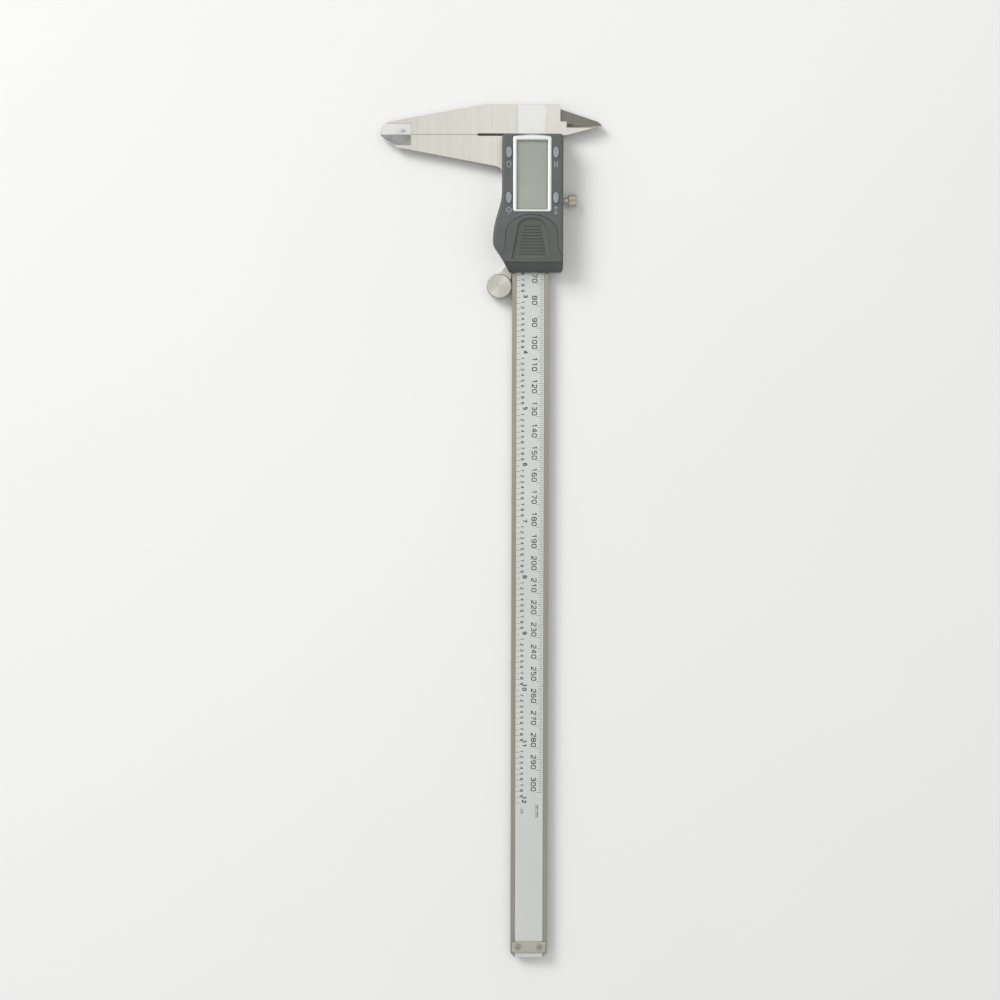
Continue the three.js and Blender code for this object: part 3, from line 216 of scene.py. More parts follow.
def moulded(name, colour, roughness, texture=1.0, edge=0.3 * MM, worn=0.35, **sockets):
    """Plastic or rubber with a fine eroded texture, a little unevenness, and edges rubbed lighter."""
    graph = Graph(name)
    pits = graph.noise(3600.0, 2.0)
    cells = graph.add("ShaderNodeTexVoronoi", {"Vector": graph.place, "Scale": 2300.0}).outputs["Distance"]
    grain = graph.math("ADD", graph.product(pits, 0.6), graph.product(cells, 0.4))
    cloud = graph.noise(70.0, 4.0, shift=5.0)
    normal, edges = graph.rounded(edge)
    rubs = graph.noise(400.0, 3.0, shift=2.0)
    rubbed = graph.product(edges, graph.vary(rubs, 0.3, 1.0))
    light = graph.product(graph.vary(cloud, 0.9, 1.1), graph.remap(grain, 0.2, 0.7, 0.92, 1.08))
    base = graph.shade(colour, graph.math("ADD", light, graph.product(rubbed, worn)))
    rough = graph.math("ADD", roughness, graph.vary(cloud, -0.05, 0.06))
    rough = graph.math("SUBTRACT", rough, graph.product(rubbed, 0.15))
    normal = graph.bump(grain, 2.2e-5 * texture, normal, 0.5)
    return graph.finish(base, rough, normal, **sockets)


def plated(name, colour, roughness, flakes=0.0, metallic=1.0, edge=0.12 * MM, waviness=1.0):
    """Bright plating or silver paint: nearly smooth, with faint waviness and rub marks."""
    graph = Graph(name)
    waves = graph.noise(320.0, 2.0)
    rubs = graph.noise((900.0, 2600.0, 900.0), 4.0, shift=4.0)
    flake = graph.add("ShaderNodeTexVoronoi", {"Vector": graph.place, "Scale": 9000.0}).outputs["Color"]
    sparkle = graph.add("ShaderNodeSeparateColor", {"Color": flake}).outputs[0]
    normal, edges = graph.rounded(edge)
    light = graph.vary(rubs, 0.95, 1.04)
    light = graph.math("ADD", light, graph.product(graph.math("SUBTRACT", sparkle, 0.5), flakes))
    base = graph.shade(colour, graph.math("ADD", light, graph.product(edges, 0.1)))
    rough = graph.math("ADD", roughness, graph.remap(rubs, 0.35, 0.7, -0.05, 0.08))
    normal = graph.bump(waves, 6e-6 * waviness, normal, 0.3)
    return graph.finish(base, rough, normal, Metallic=metallic)


def scale_film(name):
    """Silver film glued over the scale: fine metallic grain and a few faint scuffs along its length."""
    graph = Graph(name)
    grain = graph.noise((3000.0, 3800.0, 3800.0), 3.0)
    scuffs = graph.noise((40.0, 1500.0, 1500.0), 3.0, shift=6.0)
    cloud = graph.noise(24.0, 3.0, shift=1.0)
    light = graph.product(graph.vary(grain, 0.9, 1.06), graph.vary(cloud, 0.97, 1.02))
    light = graph.product(light, graph.remap(scuffs, 0.62, 0.78, 1.0, 1.05))
    normal, edges = graph.rounded(0.05 * MM)
    base = graph.shade(srgb(204, 206, 202), light)
    rough = graph.math("ADD", graph.vary(grain, 0.38, 0.5), graph.product(edges, 0.1))
    normal = graph.bump(grain, 4e-6, normal, 0.4)
    return graph.finish(base, rough, normal, Metallic=0.25)


def display_panel(name, low, high):
    """The unlit liquid crystal: grey polariser with faint electrode rows, painted shade in a band round its
    edge where the bezel overhangs it, and painted shade that darkens it towards its jaw end.
    """
    painted_shade_width, painted_shade_blur, row_pitch = 0.75 * MM, 0.15 * MM, 0.9 * MM
    graph = Graph(name)
    # Painted shade: a darker band round the panel's edge, where the bezel overhangs it.
    inner = graph.product(
        graph.within(graph.x, low.x + painted_shade_width, high.x - painted_shade_width, painted_shade_blur),
        graph.within(graph.y, low.y + painted_shade_width, high.y - painted_shade_width, painted_shade_blur),
    )
    wave = graph.math("SINE", graph.math("MULTIPLY", graph.y, 2 * math.pi / row_pitch))
    rows = graph.remap(wave, -1.0, 1.0, 0.99, 1.01)
    cloud = graph.vary(graph.noise(60.0, 3.0), 0.97, 1.03)
    # Painted shade: darker towards the jaw end, where the bezel's jaw side shades the panel.
    fall = graph.remap(graph.x, low.x, high.x, 0.96, 1.04)
    colour = graph.mix(inner, srgb(163, 162, 153), srgb(195, 195, 185))
    base = graph.shade(colour, graph.product(rows, cloud, fall))
    rough = graph.vary(graph.noise(1800.0, 2.0), 0.24, 0.34)
    normal, _ = graph.rounded(0.05 * MM)
    normal = graph.bump(graph.noise(700.0), 3e-6, normal, 0.3)
    return graph.finish(base, rough, normal, Coat_Weight=0.3, Coat_Roughness=0.08)


def clear_window(name):
    """Thin clear acrylic: it lets all through but for what its surface mirrors and a few faint smears."""
    refraction = 1.49
    graph = Graph(name)
    smears = graph.noise((220.0, 90.0, 220.0), 4.0)
    normal, edges = graph.rounded(0.08 * MM)
    normal = graph.bump(graph.noise(160.0), 4e-6, normal, 0.2)
    rough = graph.remap(smears, 0.4, 0.75, 0.03, 0.12)
    inputs = {"Base Color": srgb(225, 232, 228), "Roughness": rough, "Normal": normal, "IOR": refraction}
    surface = graph.add("ShaderNodeBsdfPrincipled", inputs)
    through = graph.add("ShaderNodeBsdfTransparent", {"Color": (0.98, 0.98, 0.98, 1.0)})
    share = graph.add("ShaderNodeFresnel", {"IOR": refraction}).outputs[0]
    haze = graph.remap(smears, 0.45, 0.8, 0.0, 0.03)
    share = graph.math("ADD", share, graph.math("ADD", graph.product(edges, 0.2), haze))
    mixed = graph.add("ShaderNodeMixShader", {0: share, 1: through.outputs[0], 2: surface.outputs[0]})
    graph.add("ShaderNodeOutputMaterial", {"Surface": mixed.outputs[0]})
    return graph.material


def circuit(name):
    """Green solder mask with the faint relief of copper tracks under it."""
    graph = Graph(name)
    tracks = graph.add("ShaderNodeTexBrick", {"Vector": graph.place, "Scale": 240.0, "Mortar Size": 0.012})
    line = tracks.outputs["Fac"]
    cloud = graph.noise(150.0, 3.0)
    normal, edges = graph.rounded(0.08 * MM)
    base = graph.mix(line, srgb(44, 90, 58), srgb(70, 122, 80))
    light = graph.math("ADD", graph.vary(cloud, 0.9, 1.1), graph.product(edges, 0.3))
    base = graph.shade(base, light)
    rough = graph.vary(cloud, 0.28, 0.42)
    normal = graph.bump(line, 2e-5, normal, 0.5)
    return graph.finish(base, rough, normal)


def felt(name):
    """Pressed felt: fibres that lie across the slider, in tufts."""
    graph = Graph(name)
    fibres = graph.noise((2600.0, 900.0, 2600.0), 6.0, 0.7)
    tufts = graph.noise(1200.0, 3.0, shift=3.0)
    normal, _ = graph.rounded(0.15 * MM)
    base = graph.shade(srgb(138, 138, 132), graph.remap(fibres, 0.25, 0.75, 0.7, 1.25))
    rough = graph.vary(tufts, 0.85, 1.0)
    normal = graph.bump(graph.math("ADD", fibres, tufts), 8e-5, normal, 0.8)
    return graph.finish(base, rough, normal, Sheen_Weight=0.4)


def ink(name, colour, roughness=0.5):
    """Print: nearly even, a little thin in places."""
    graph = Graph(name)
    patchy = graph.noise(2400.0, 3.0)
    base = graph.shade(colour, graph.remap(patchy, 0.3, 0.75, 0.85, 1.25))
    rough = graph.math("ADD", roughness, graph.vary(patchy, -0.08, 0.08))
    flat = graph.add("ShaderNodeNewGeometry").outputs["Normal"]
    return graph.finish(base, rough, graph.bump(patchy, 2e-6, flat, 0.4))


# ---- Places read from the frame -------------------------------------------------------------------------

beam_low, beam_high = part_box("beam_with_fixed_jaws")
label_low, label_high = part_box("scale_label")
panel_low, panel_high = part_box("lcd_panel")
housing_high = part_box("display_housing")[1]
roller_low, roller_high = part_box("thumb_roller")
roller_centre = (roller_low + roller_high) / 2

beam_axis = (label_low.y + label_high.y) / 2
jaw_zero = label_low.x - 0.6 * MM  # where the measuring faces meet
tip_step = beam_low.y + 14 * MM  # where the thinned ends of the outside jaws start
nib_edge = jaw_zero - 4.4 * MM  # where the inside jaws' edges meet
nib_end = nib_edge + 0.12 * MM  # just past that
nib_root = beam_axis + 8.35 * MM
far = 1.0  # past every side of the caliper

channel_half = (label_high.y - label_low.y) / 2 + 0.1 * MM
channel_under = label_low.z - 0.95 * MM  # just below the channel's floor
channel_over = label_low.z - 0.3 * MM  # just above it
rim_offset = 7.3 * MM  # from the beam's axis to the middle of each rim beside the channel
rim_half = 1.0 * MM
rim_under = beam_high.z - 0.3 * MM
tip_reach_fixed, tip_reach_moving = 4.75 * MM, 4.85 * MM  # thinned widths, from where the faces meet
nib_start = nib_root + 2.2 * MM
nib_over = beam_low.z + 2.1 * MM

# ---- The materials --------------------------------------------------------------------------------------

STEEL = srgb(201, 199, 191)
RIM = srgb(150, 145, 135)
CHANNEL = srgb(212, 213, 209)
BRIGHT = srgb(214, 214, 211)
# Painted shade: the darker colour given to the lower back part of the moving inside jaw.
NIB_PAINTED_SHADE = srgb(117, 115, 107)

# Each zone: its low corner, its high corner, and its colour, roughness and grain.
rim_zones = [
    (
        (jaw_zero, beam_axis + side * rim_offset - rim_half, rim_under),
        (far, beam_axis + side * rim_offset + rim_half, far),
        RIM,
        0.36,
        0.7,
    )
    for side in (-1, 1)
]
channel_zone = (
    (-far, beam_axis - channel_half, channel_under),
    (far, beam_axis + channel_half, channel_over),
    CHANNEL,
    0.3,
    0.6,
)
tip_zone = (
    (jaw_zero - tip_reach_fixed, -far, -far),
    (jaw_zero + tip_reach_moving, tip_step, far),
    BRIGHT,
    0.1,
    0.35,
)
# Painted shade: the lower back part of the moving inside jaw sits below the front faces, and is coloured
# darker for the shade it lies in.
nib_painted_shade_zone = (
    (-far, nib_start, -far),
    (nib_end, far, nib_over),
    NIB_PAINTED_SHADE,
    0.34,
    0.8,
)

beam_steel = ground_steel("beam_steel", STEEL, 0.34, zones=[*rim_zones, channel_zone, tip_zone])
slider_steel = ground_steel("slider_steel", STEEL, 0.34, zones=[tip_zone, nib_painted_shade_zone])
stop_steel = ground_steel("end_stop_steel", srgb(174, 171, 161), 0.32, "Y", 0.7)
turned_steel = ground_steel("roller_steel", srgb(189, 187, 178), 0.3, grain=0.5, turned=roller_centre.xy)
nickel = plated("lock_nickel", srgb(196, 190, 176), 0.36)
rod_steel = ground_steel("rod_steel", srgb(205, 203, 198), 0.25, grain=0.6)
screw_steel = plated("screw_steel", srgb(190, 188, 181), 0.2)
stop_screw_steel = plated("stop_screw_steel", srgb(152, 149, 141), 0.3)
bronze = ground_steel("worn_bronze", srgb(184, 148, 92), 0.38, grain=0.8)
housing_plastic = moulded("housing_plastic", srgb(84, 88, 87), 0.5)
cover_plastic = moulded("cover_plastic", srgb(80, 83, 79), 0.47, texture=1.3)
seal_rubber = moulded("seal_rubber", srgb(34, 34, 34), 0.75, worn=0.2)
zebra_rubber = moulded("zebra_rubber", srgb(52, 54, 56), 0.7, texture=0.6, worn=0.2)
epoxy = moulded("chip_epoxy", srgb(24, 24, 25), 0.25, texture=0.3, worn=0.5)
trim = plated("silver_trim", srgb(225, 226, 223), 0.4, metallic=0.7, edge=0.03 * MM, waviness=0.2)
button_paint = plated("button_paint", srgb(142, 149, 152), 0.36, flakes=0.12, metallic=0.45, edge=0.25 * MM)
cell_can = plated("cell_can", srgb(214, 214, 212), 0.25)
contact = plated("contact_metal", srgb(214, 199, 146), 0.28)

finishes = {
    "beam_with_fixed_jaws": beam_steel,
    "slider_frame_with_moving_jaws": slider_steel,
    "scale_stator": circuit("stator_mask"),
    "scale_label": scale_film("silver_film"),
    "end_stop_plate": stop_steel,
    "gib_strip": bronze,
    "lock_shoe": bronze,
    "lock_screw": nickel,
    "depth_rod": rod_steel,
    "thumb_roller": turned_steel,
    "circuit_board": circuit("board_mask"),
    "controller_chip": epoxy,
    "lcd_panel": display_panel("display_panel", panel_low, panel_high),
    "lcd_window": clear_window("clear_window"),
    "lcd_bezel": trim,
    "button_cell": cell_can,
    "battery_seal_ring": seal_rubber,
    "battery_cover": cover_plastic,
    "display_housing": housing_plastic,
    "housing_gasket": seal_rubber,
}
by_prefix = {
    "end_stop_screw": stop_screw_steel,
    "gib_screw": screw_steel,
    "housing_screw": screw_steel,
    "roller_screw": screw_steel,
    "roller_spring_washer": screw_steel,
    "depth_rod_pin": screw_steel,
    "scale_wiper": felt("wiper_felt"),
    "zebra_connector": zebra_rubber,
    "switch": contact,
    "battery_contact": contact,
    "button_": button_paint,
}

for name, node in nodes.items():
    material = finishes.get(name)
    if material is None:
        material = next(made for prefix, made in by_prefix.items() if name.startswith(prefix))
    node.data.materials.clear()
    node.data.materials.append(material)


# ---- Print ----------------------------------------------------------------------------------------------

PRINT_THICKNESS = 0.012 * MM
SHARPEST_MITRE = 0.35  # cosine of half the sharpest turn that a corner is drawn out to


def offsets(path, reach, closed):
    """The points of a path moved sideways by reach, mitred at its corners."""
    count = len(path)
    moved = []
    for i, point in enumerate(path):
        before = path[i - 1] if closed or i else None
        after = path[(i + 1) % count] if closed or i < count - 1 else None
        sides = []
        for start, end in ((before, point), (point, after)):
            if start is not None and end is not None:
                along = (Vector(end) - Vector(start)).normalized()
                sides.append(Vector((-along.y, along.x)))
        side = sum(sides, Vector((0, 0))).normalized()
        moved.append(Vector(point) + side * reach / max(side.dot(sides[0]), SHARPEST_MITRE))
    return moved


class Print:
    """Flat strokes gathered into one thin mesh that lies on height base."""

    def __init__(self, base):
        self.levels = (base, base + PRINT_THICKNESS)
        self.points = []
        self.faces = []

    def stroke(self, path, width, closed=False):
        """A band of a width along a path, as a closed solid."""
        left, right = offsets(path, width / 2, closed), offsets(path, -width / 2, closed)
        first = len(self.points)
        for pair in zip(left, right):
            self.points += [(point.x, point.y, level) for point in pair for level in self.levels]
        sections = [[first + 4 * i + k for k in (0, 1, 3, 2)] for i in range(len(path))]
        joined = list(zip(sections, sections[1:]))
        if closed:
            joined.append((sections[-1], sections[0]))
        else:
            self.faces += [sections[0][::-1], sections[-1]]
        for here, there in joined:
            self.faces += [[here[k], here[(k + 1) % 4], there[(k + 1) % 4], there[k]] for k in range(4)]

    def bar(self, x0, x1, y, width):
        self.stroke([(x0, y), (x1, y)], width)

    def arc(self, centre, radius, width, start, end, stretch=1.0, steps=28):
        """A band round an arc, from one angle to another in degrees."""
        whole = end - start >= 360
        angles = [math.radians(start + (end - start) * i / steps) for i in range(steps + (not whole))]
        across = stretch * radius
        path = [(centre[0] + across * math.cos(a), centre[1] + radius * math.sin(a)) for a in angles]
        self.stroke(path, width, whole)

    def character(self, name, corner, size, weight):
        """A character whose strokes keep inside a box with this lower left corner and size."""
        for path, closed in CHARACTERS[name]:
            spread = [size[k] - weight for k in (0, 1)]
            inset = [corner[k] + weight / 2 for k in (0, 1)]
            placed = [tuple(inset[k] + spread[k] * point[k] for k in (0, 1)) for point in path]
            self.stroke(placed, weight, closed)

    def build(self, name, material, body):
        mesh = bpy.data.meshes.new(name)
        mesh.from_pydata(self.points, [], self.faces)
        work = bmesh.new()
        work.from_mesh(mesh)
        bmesh.ops.recalc_face_normals(work, faces=work.faces)
        work.to_mesh(mesh)
        work.free()
        mesh.materials.append(material)
        piece = bpy.data.objects.new(name, mesh)
        bpy.context.scene.collection.objects.link(piece)
        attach(piece, body)
        return piece


SIX = [
    (0.96, 0.88), (0.72, 1), (0.28, 1), (0, 0.86), (0, 0.14), (0.28, 0),
    (0.72, 0), (1, 0.14), (1, 0.44), (0.72, 0.57), (0.12, 0.57),
]
# Each character's strokes as paths in a unit box, and whether each one closes on itself.
CHARACTERS = {
    "0": [([(0.28, 0), (0.72, 0), (1, 0.14), (1, 0.86), (0.72, 1), (0.28, 1), (0, 0.86), (0, 0.14)], True)],
    "1": [([(0.22, 0.8), (0.5, 1), (0.64, 1), (0.64, 0)], False)],
    "2": [([(0, 0.84), (0.26, 1), (0.74, 1), (1, 0.86), (1, 0.6), (0, 0.14), (0, 0), (1, 0)], False)],
    "3": [
        (
            [(0, 1), (0.72, 1), (1, 0.87), (1, 0.64), (0.8, 0.52), (1, 0.4), (1, 0.13), (0.72, 0), (0, 0)],
            False,
        ),
        ([(0.25, 0.52), (0.62, 0.52)], False),
    ],
    "4": [
        ([(0.74, 0), (0.74, 1), (0.54, 1), (0, 0.38), (0, 0.28), (0.57, 0.28)], False),
        ([(0.91, 0.28), (1.04, 0.28)], False),
    ],
    "5": [
        (
            [(0.95, 1), (0.05, 1), (0.05, 0.58), (0.72, 0.58), (1, 0.44), (1, 0.14), (0.72, 0), (0, 0)],
            False,
        ),
    ],
    "6": [(SIX, False)],
    "7": [([(0, 1), (1, 1), (1, 0.86), (0.36, 0)], False)],
    "8": [
        (
            [
                (0.28, 0), (0.72, 0), (1, 0.13), (1, 0.4), (0.88, 0.52), (1, 0.64), (1, 0.88), (0.72, 1),
                (0.28, 1), (0, 0.88), (0, 0.64), (0.12, 0.52), (0, 0.4), (0, 0.13),
            ],
            True,
        ),
        ([(0.2, 0.52), (0.8, 0.52)], False),
    ],
    "9": [([(1 - x, 1 - y) for x, y in SIX], False)],
    "m": [
        ([(0, 0), (0, 1), (0.82, 1), (1, 0.84), (1, 0)], False),
        ([(0.5, 0), (0.5, 0.86)], False),
    ],
    "n": [([(0, 0), (0, 1), (0.7, 1), (1, 0.8), (1, 0)], False)],
    "i": [([(0.5, 0), (0.5, 1)], False), ([(0.5, 1.22), (0.5, 1.42)], False)],
}


def write(page, text, right, low, size, advance, weight):
    """Characters that read along X, with the right edge of the last one at right."""
    for i, name in enumerate(reversed(text)):
        page.character(name, (right - i * advance - size[0], low), size, weight)


scale_zero = jaw_zero - 2.5 * MM  # the printed zero stands a little before the measuring faces
scale_start = label_low.x + 0.3 * MM
tick = 0.15 * MM
inch = 25.4 * MM
last_millimetre, last_tenth = 300, 120
# Where the rulings of each kind start and end, in millimetres from the beam's axis.
ten_low, five_low, one_low, metric_high = 2.9, 3.4, 4.4, 5.9
tenth_low, tenth_high = -6.1, -4.5
# Each kind of figure: its width and height, the pitch from one to the next, and its strokes' weight.
METRIC = ((1.85 * MM, 2.4 * MM), 2.28 * MM, 0.4 * MM)
TENTH = ((1.05 * MM, 1.5 * MM), 1.25 * MM, 0.29 * MM)
INCH = ((1.45 * MM, 2.0 * MM), 1.8 * MM, 0.44 * MM)
METRIC_UNIT = ((2.4 * MM, 1.5 * MM), 3.1 * MM, 0.28 * MM)
INCH_UNIT = ((1.3 * MM, 1.3 * MM), 1.5 * MM, 0.26 * MM)
NARROW_UNIT = ((0.6 * MM, 1.3 * MM), 1.5 * MM, 0.26 * MM)
# Where each row of figures stands, and how far its figures are from their rulings.
metric_row, tenth_row, inch_row = [beam_axis + height * MM for height in (0.75, -4.2, -3.2)]
metric_shift, inch_shift = -0.5 * MM, 0.1 * MM
first_figure, first_tenth = scale_start + 5 * MM, scale_start + 1.5 * MM
metric_unit_row, inch_unit_row = beam_axis + 2.6 * MM, beam_axis - 4.1 * MM
metric_unit_end = scale_zero + 311.25 * MM
inch_unit_end, narrow_unit_end = scale_zero + 309.55 * MM, scale_zero + 307.95 * MM

rulings = Print(label_high.z)
figures = Print(label_high.z)


def rule(x, low, high):
    rulings.stroke([(x, beam_axis + low * MM), (x, beam_axis + high * MM)], tick)


for i in range(last_millimetre + 1):
    x = scale_zero + i * MM
    if x < scale_start:
        continue
    rule(x, ten_low if i % 10 == 0 else five_low if i % 5 == 0 else one_low, metric_high)
    if i % 10 == 0 and x > first_figure:
        write(figures, str(i), x + metric_shift, metric_row, *METRIC)
for i in range(last_tenth + 1):
    x = scale_zero + i * inch / 10
    if x < first_tenth:
        continue
    rule(x, tenth_low, tenth_high)
    if i % 10:
        write(figures, str(i % 10), x, tenth_row, *TENTH)
    else:
        write(figures, str(i // 10), x + inch_shift, inch_row, *INCH)
write(figures, "mm", metric_unit_end, metric_unit_row, *METRIC_UNIT)
write(figures, "n", inch_unit_end, inch_unit_row, *INCH_UNIT)
write(figures, "i", narrow_unit_end, inch_unit_row, *NARROW_UNIT)
rulings.build("scale_rulings", ink("ruling_ink", srgb(66, 68, 68)), "beam")
figures.build("scale_figures", ink("figure_ink", srgb(50, 52, 52)), "beam")

# The four buttons' marks: a ring for zero, a power sign, two bars for hold and a double arrow for the unit.
marks = Print(housing_high.z)
line = 0.27 * MM
# Lengths along X are from each button's centre.
ring_place, ring_radius, ring_stretch = 5.4 * MM, 0.9 * MM, 1.5
power_place, power_radius, power_opening = 5.5 * MM, 1.05 * MM, 35  # half the opening, in degrees
stem_start, stem_end = 5.6 * MM, 7.1 * MM
pause_start, pause_end, pause_spread = 4.2 * MM, 6.6 * MM, 0.55 * MM
arrow_middle, arrow_reach, arrow_head = 5.6 * MM, 1.7 * MM, 0.8 * MM
shaft_start, shaft_end = 4.5 * MM, 6.7 * MM


def middle(node):
    low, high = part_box(node)
    return (low + high) / 2


zero = middle("button_zero")
marks.arc((zero.x + ring_place, zero.y), ring_radius, line, 0, 360, stretch=ring_stretch)
power = middle("button_power")
marks.arc((power.x + power_place, power.y), power_radius, line, power_opening, 360 - power_opening)
marks.bar(power.x + stem_start, power.x + stem_end, power.y, line)
hold = middle("button_hold")
for side in (-1, 1):
    marks.bar(hold.x + pause_start, hold.x + pause_end, hold.y + side * pause_spread, 1.4 * line)
unit = middle("button_unit")
for side in (-1, 1):
    tip = unit.x + arrow_middle + side * arrow_reach
    root = tip - side * arrow_head
    marks.stroke([(root, unit.y + arrow_head), (tip, unit.y), (root, unit.y - arrow_head)], line)
marks.bar(unit.x + shaft_start, unit.x + shaft_end, unit.y, line)
marks.build("button_marks", ink("mark_ink", srgb(158, 166, 170)), "slider")


# ---- Display bezel --------------------------------------------------------------------------------------

BEZEL_BOW = 0.65 * MM  # how far its jaw end bows out
BEZEL_SHARP = 50  # degrees: a sharper edge than this isn't shaded smooth
BEZEL_OPENING = 0.1 * MM  # between the window and the bezel
INNER_CORNER, OUTER_CORNER, SKIRT_CORNER = 0.25 * MM, 1.0 * MM, 0.2 * MM
SKIRT_WALL = 0.75 * MM
RIM_DROP, SKIRT_DROP = 0.48 * MM, 1.55 * MM  # below the bezel's top
# The crowned front: the share of the way from the opening to the rim, and the depth below the top.
CROWN = [
    (0.0, 0.42 * MM), (0.05, 0.2 * MM), (0.14, 0.07 * MM), (0.3, 0.015 * MM), (0.5, 0.0),
    (0.7, 0.02 * MM), (0.86, 0.09 * MM), (0.96, 0.24 * MM),
]


def rounded_rectangle(low, high, radius, bow=0.0, steps=6, bow_steps=14):
    """Points round a rectangle, with the same number whatever its size. Its first X side bows out."""
    corners = [(high[0], low[1], -90), (high[0], high[1], 0), (low[0], high[1], 90), (low[0], low[1], 180)]
    points = []
    for x, y, start in corners:
        cx = x + radius * (1 if x == low[0] else -1)
        cy = y + radius * (1 if y == low[1] else -1)
        for i in range(steps + 1):
            angle = math.radians(start + 90 * i / steps)
            points.append([cx + radius * math.cos(angle), cy + radius * math.sin(angle)])
    last = 3 * (steps + 1)
    start, end = points[last - 1][1], points[last][1]
    side = []
    for i in range(1, bow_steps):
        share = i / bow_steps
        side.append([low[0] - bow * math.sin(math.pi * share), start + share * (end - start)])
    return points[:last] + side + points[last:]


def make_bezel():
    """A frame with a crowned front in place of the flat one."""
    low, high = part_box("lcd_bezel")
    window_low, window_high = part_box("lcd_window")
    inner_low = [window_low[k] - BEZEL_OPENING for k in (0, 1)]
    inner_high = [window_high[k] + BEZEL_OPENING for k in (0, 1)]
    outer_low, outer_high = (low.x + BEZEL_BOW, low.y), (high.x, high.y)
    work = bmesh.new()

    def ring(outline, drop):
        return [work.verts.new((x, y, high.z - drop)) for x, y in outline]

    rings = []
    for share, drop in [(0.0, SKIRT_DROP), *CROWN, (1.0, RIM_DROP)]:
        corner_low = [inner_low[k] + share * (outer_low[k] - inner_low[k]) for k in (0, 1)]
        corner_high = [inner_high[k] + share * (outer_high[k] - inner_high[k]) for k in (0, 1)]
        radius = INNER_CORNER + share * (OUTER_CORNER - INNER_CORNER)
        rings.append(ring(rounded_rectangle(corner_low, corner_high, radius, share * BEZEL_BOW), drop))
    skirt_low = [value - SKIRT_WALL for value in inner_low]
    skirt_high = [value + SKIRT_WALL for value in inner_high]
    for drop in (RIM_DROP, SKIRT_DROP):
        rings.append(ring(rounded_rectangle(skirt_low, skirt_high, SKIRT_CORNER), drop))
    count = len(rings[0])
    for here, there in zip(rings, rings[1:] + rings[:1]):
        for i in range(count):
            j = (i + 1) % count
            work.faces.new((here[i], here[j], there[j], there[i]))
    bmesh.ops.recalc_face_normals(work, faces=work.faces)
    mesh = bpy.data.meshes.new("display_bezel")
    work.to_mesh(mesh)
    work.free()
    for polygon in mesh.polygons:
        polygon.use_smooth = True
    mesh.set_sharp_from_angle(angle=math.radians(BEZEL_SHARP))
    mesh.materials.append(trim)
    piece = bpy.data.objects.new("display_bezel", mesh)
    bpy.context.scene.collection.objects.link(piece)
    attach(piece, "slider")
    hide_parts("lcd_bezel")


make_bezel()


# ---- Floor, light and camera ----------------------------------------------------------------------------


def paper(name):
    graph = Graph(name)
    cloud = graph.noise(3.0, 3.0)
    flat = graph.add("ShaderNodeNewGeometry").outputs["Normal"]
    base = graph.shade(srgb(236, 236, 235), graph.vary(cloud, 0.99, 1.01))
    return graph.finish(base, graph.vary(cloud, 0.85, 0.9), flat)


floor_half = 4.0
floor_corners = [(x * floor_half, y * floor_half, 0) for x, y in ((-1, -1), (1, -1), (1, 1), (-1, 1))]
floor_mesh = bpy.data.meshes.new("floor")
floor_mesh.from_pydata(floor_corners, [], [(0, 1, 2, 3)])
floor_mesh.materials.append(paper("floor_paper"))
floor = bpy.data.objects.new("floor", floor_mesh)
bpy.context.scene.collection.objects.link(floor)


def softbox(name, place, size, watts, tint=(1.0, 1.0, 1.0)):
    """A rectangular light that faces the origin."""
    light = bpy.data.lights.new(name, "AREA")
    light.shape = "RECTANGLE"
    light.size, light.size_y = size
    light.energy = watts
    light.color = tint
    lamp = bpy.data.objects.new(name, light)
    lamp.location = place
    lamp.rotation_mode = "QUATERNION"
    lamp.rotation_quaternion = (Vector((0, 0, 0)) - Vector(place)).to_track_quat("-Z", "Y")
    bpy.context.scene.collection.objects.link(lamp)


softbox("overhead", (-0.1, 0.0, 1.9), (2.6, 2.2), 10.5, (1.0, 0.985, 0.96))
softbox("key", (-1.15, -1.15, 1.5), (1.0, 1.0), 27)

# The room: a glow that grows with height, and is uneven as walls and windows are.
SKY_LIFT = {"From Min": -0.1, "From Max": 1.0, "To Min": 0.4, "To Max": 0.5}
SKY_CONTRAST = {"From Min": 0.35, "From Max": 0.65, "To Min": 0.72, "To Max": 1.28}
WALL_SIZE = 2.3

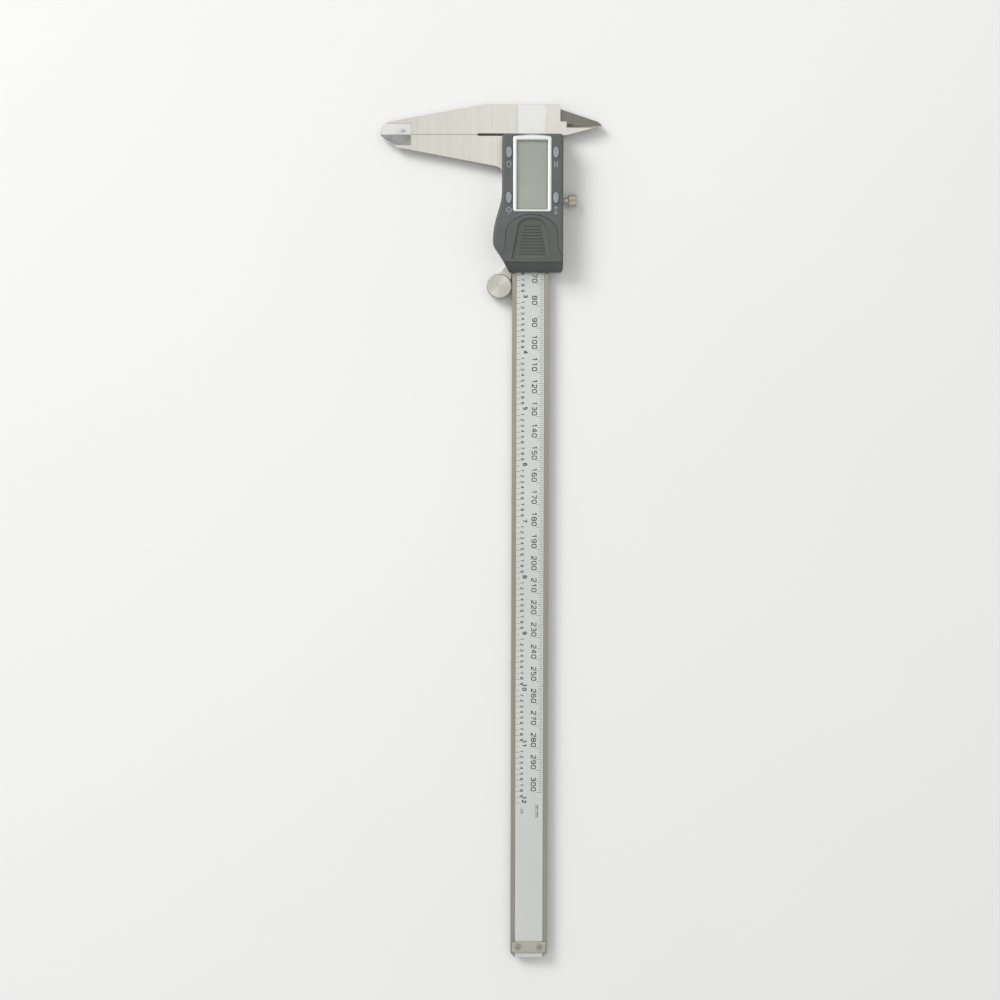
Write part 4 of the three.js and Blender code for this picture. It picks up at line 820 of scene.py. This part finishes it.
world = bpy.data.worlds.new("studio")
world.use_nodes = True
sky = world.node_tree
sky.nodes.clear()
direction = sky.nodes.new("ShaderNodeTexCoord")
height = sky.nodes.new("ShaderNodeSeparateXYZ")
sky.links.new(direction.outputs["Generated"], height.inputs[0])
lift = sky.nodes.new("ShaderNodeMapRange")
for socket, value in SKY_LIFT.items():
    lift.inputs[socket].default_value = value
sky.links.new(height.outputs[2], lift.inputs["Value"])
walls = sky.nodes.new("ShaderNodeTexNoise")
walls.inputs["Scale"].default_value = WALL_SIZE
walls.inputs["Detail"].default_value = 1.0
sky.links.new(direction.outputs["Generated"], walls.inputs["Vector"])
contrast = sky.nodes.new("ShaderNodeMapRange")
for socket, value in SKY_CONTRAST.items():
    contrast.inputs[socket].default_value = value
sky.links.new(walls.outputs[0], contrast.inputs["Value"])
strength = sky.nodes.new("ShaderNodeMath")
strength.operation = "MULTIPLY"
sky.links.new(lift.outputs[0], strength.inputs[0])
sky.links.new(contrast.outputs[0], strength.inputs[1])
glow = sky.nodes.new("ShaderNodeBackground")
glow.inputs["Color"].default_value = (0.98, 0.99, 1.0, 1.0)
sky.links.new(strength.outputs[0], glow.inputs["Strength"])
out = sky.nodes.new("ShaderNodeOutputWorld")
sky.links.new(glow.outputs[0], out.inputs[0])
bpy.context.scene.world = world
bpy.context.scene.view_settings.view_transform = "Standard"

# Straight down, with the jaws at the top of the picture and the beam leaning a little.
view_along, view_across = 165.3 * MM, 13.5 * MM  # the view's centre, from where the measuring faces meet
view_centre = Vector((jaw_zero + view_along, beam_axis - view_across, beam_high.z))
view_width = 452.3 * MM
distance = 1.0
lean = -0.0029
sensor = 36
camera_data = bpy.data.cameras.new("camera")
camera_data.sensor_width = sensor
camera_data.lens = sensor * distance / view_width
camera_data.clip_end = 50
camera = bpy.data.objects.new("camera", camera_data)
right = Vector((lean, 1, 0)).normalized()
up = Vector((-1, lean, 0)).normalized()
back = Vector((0, 0, 1))
turn = Matrix((right, up, back)).transposed().to_4x4()
camera.matrix_world = Matrix.Translation(view_centre + back * distance) @ turn
bpy.context.scene.collection.objects.link(camera)
bpy.context.scene.camera = camera
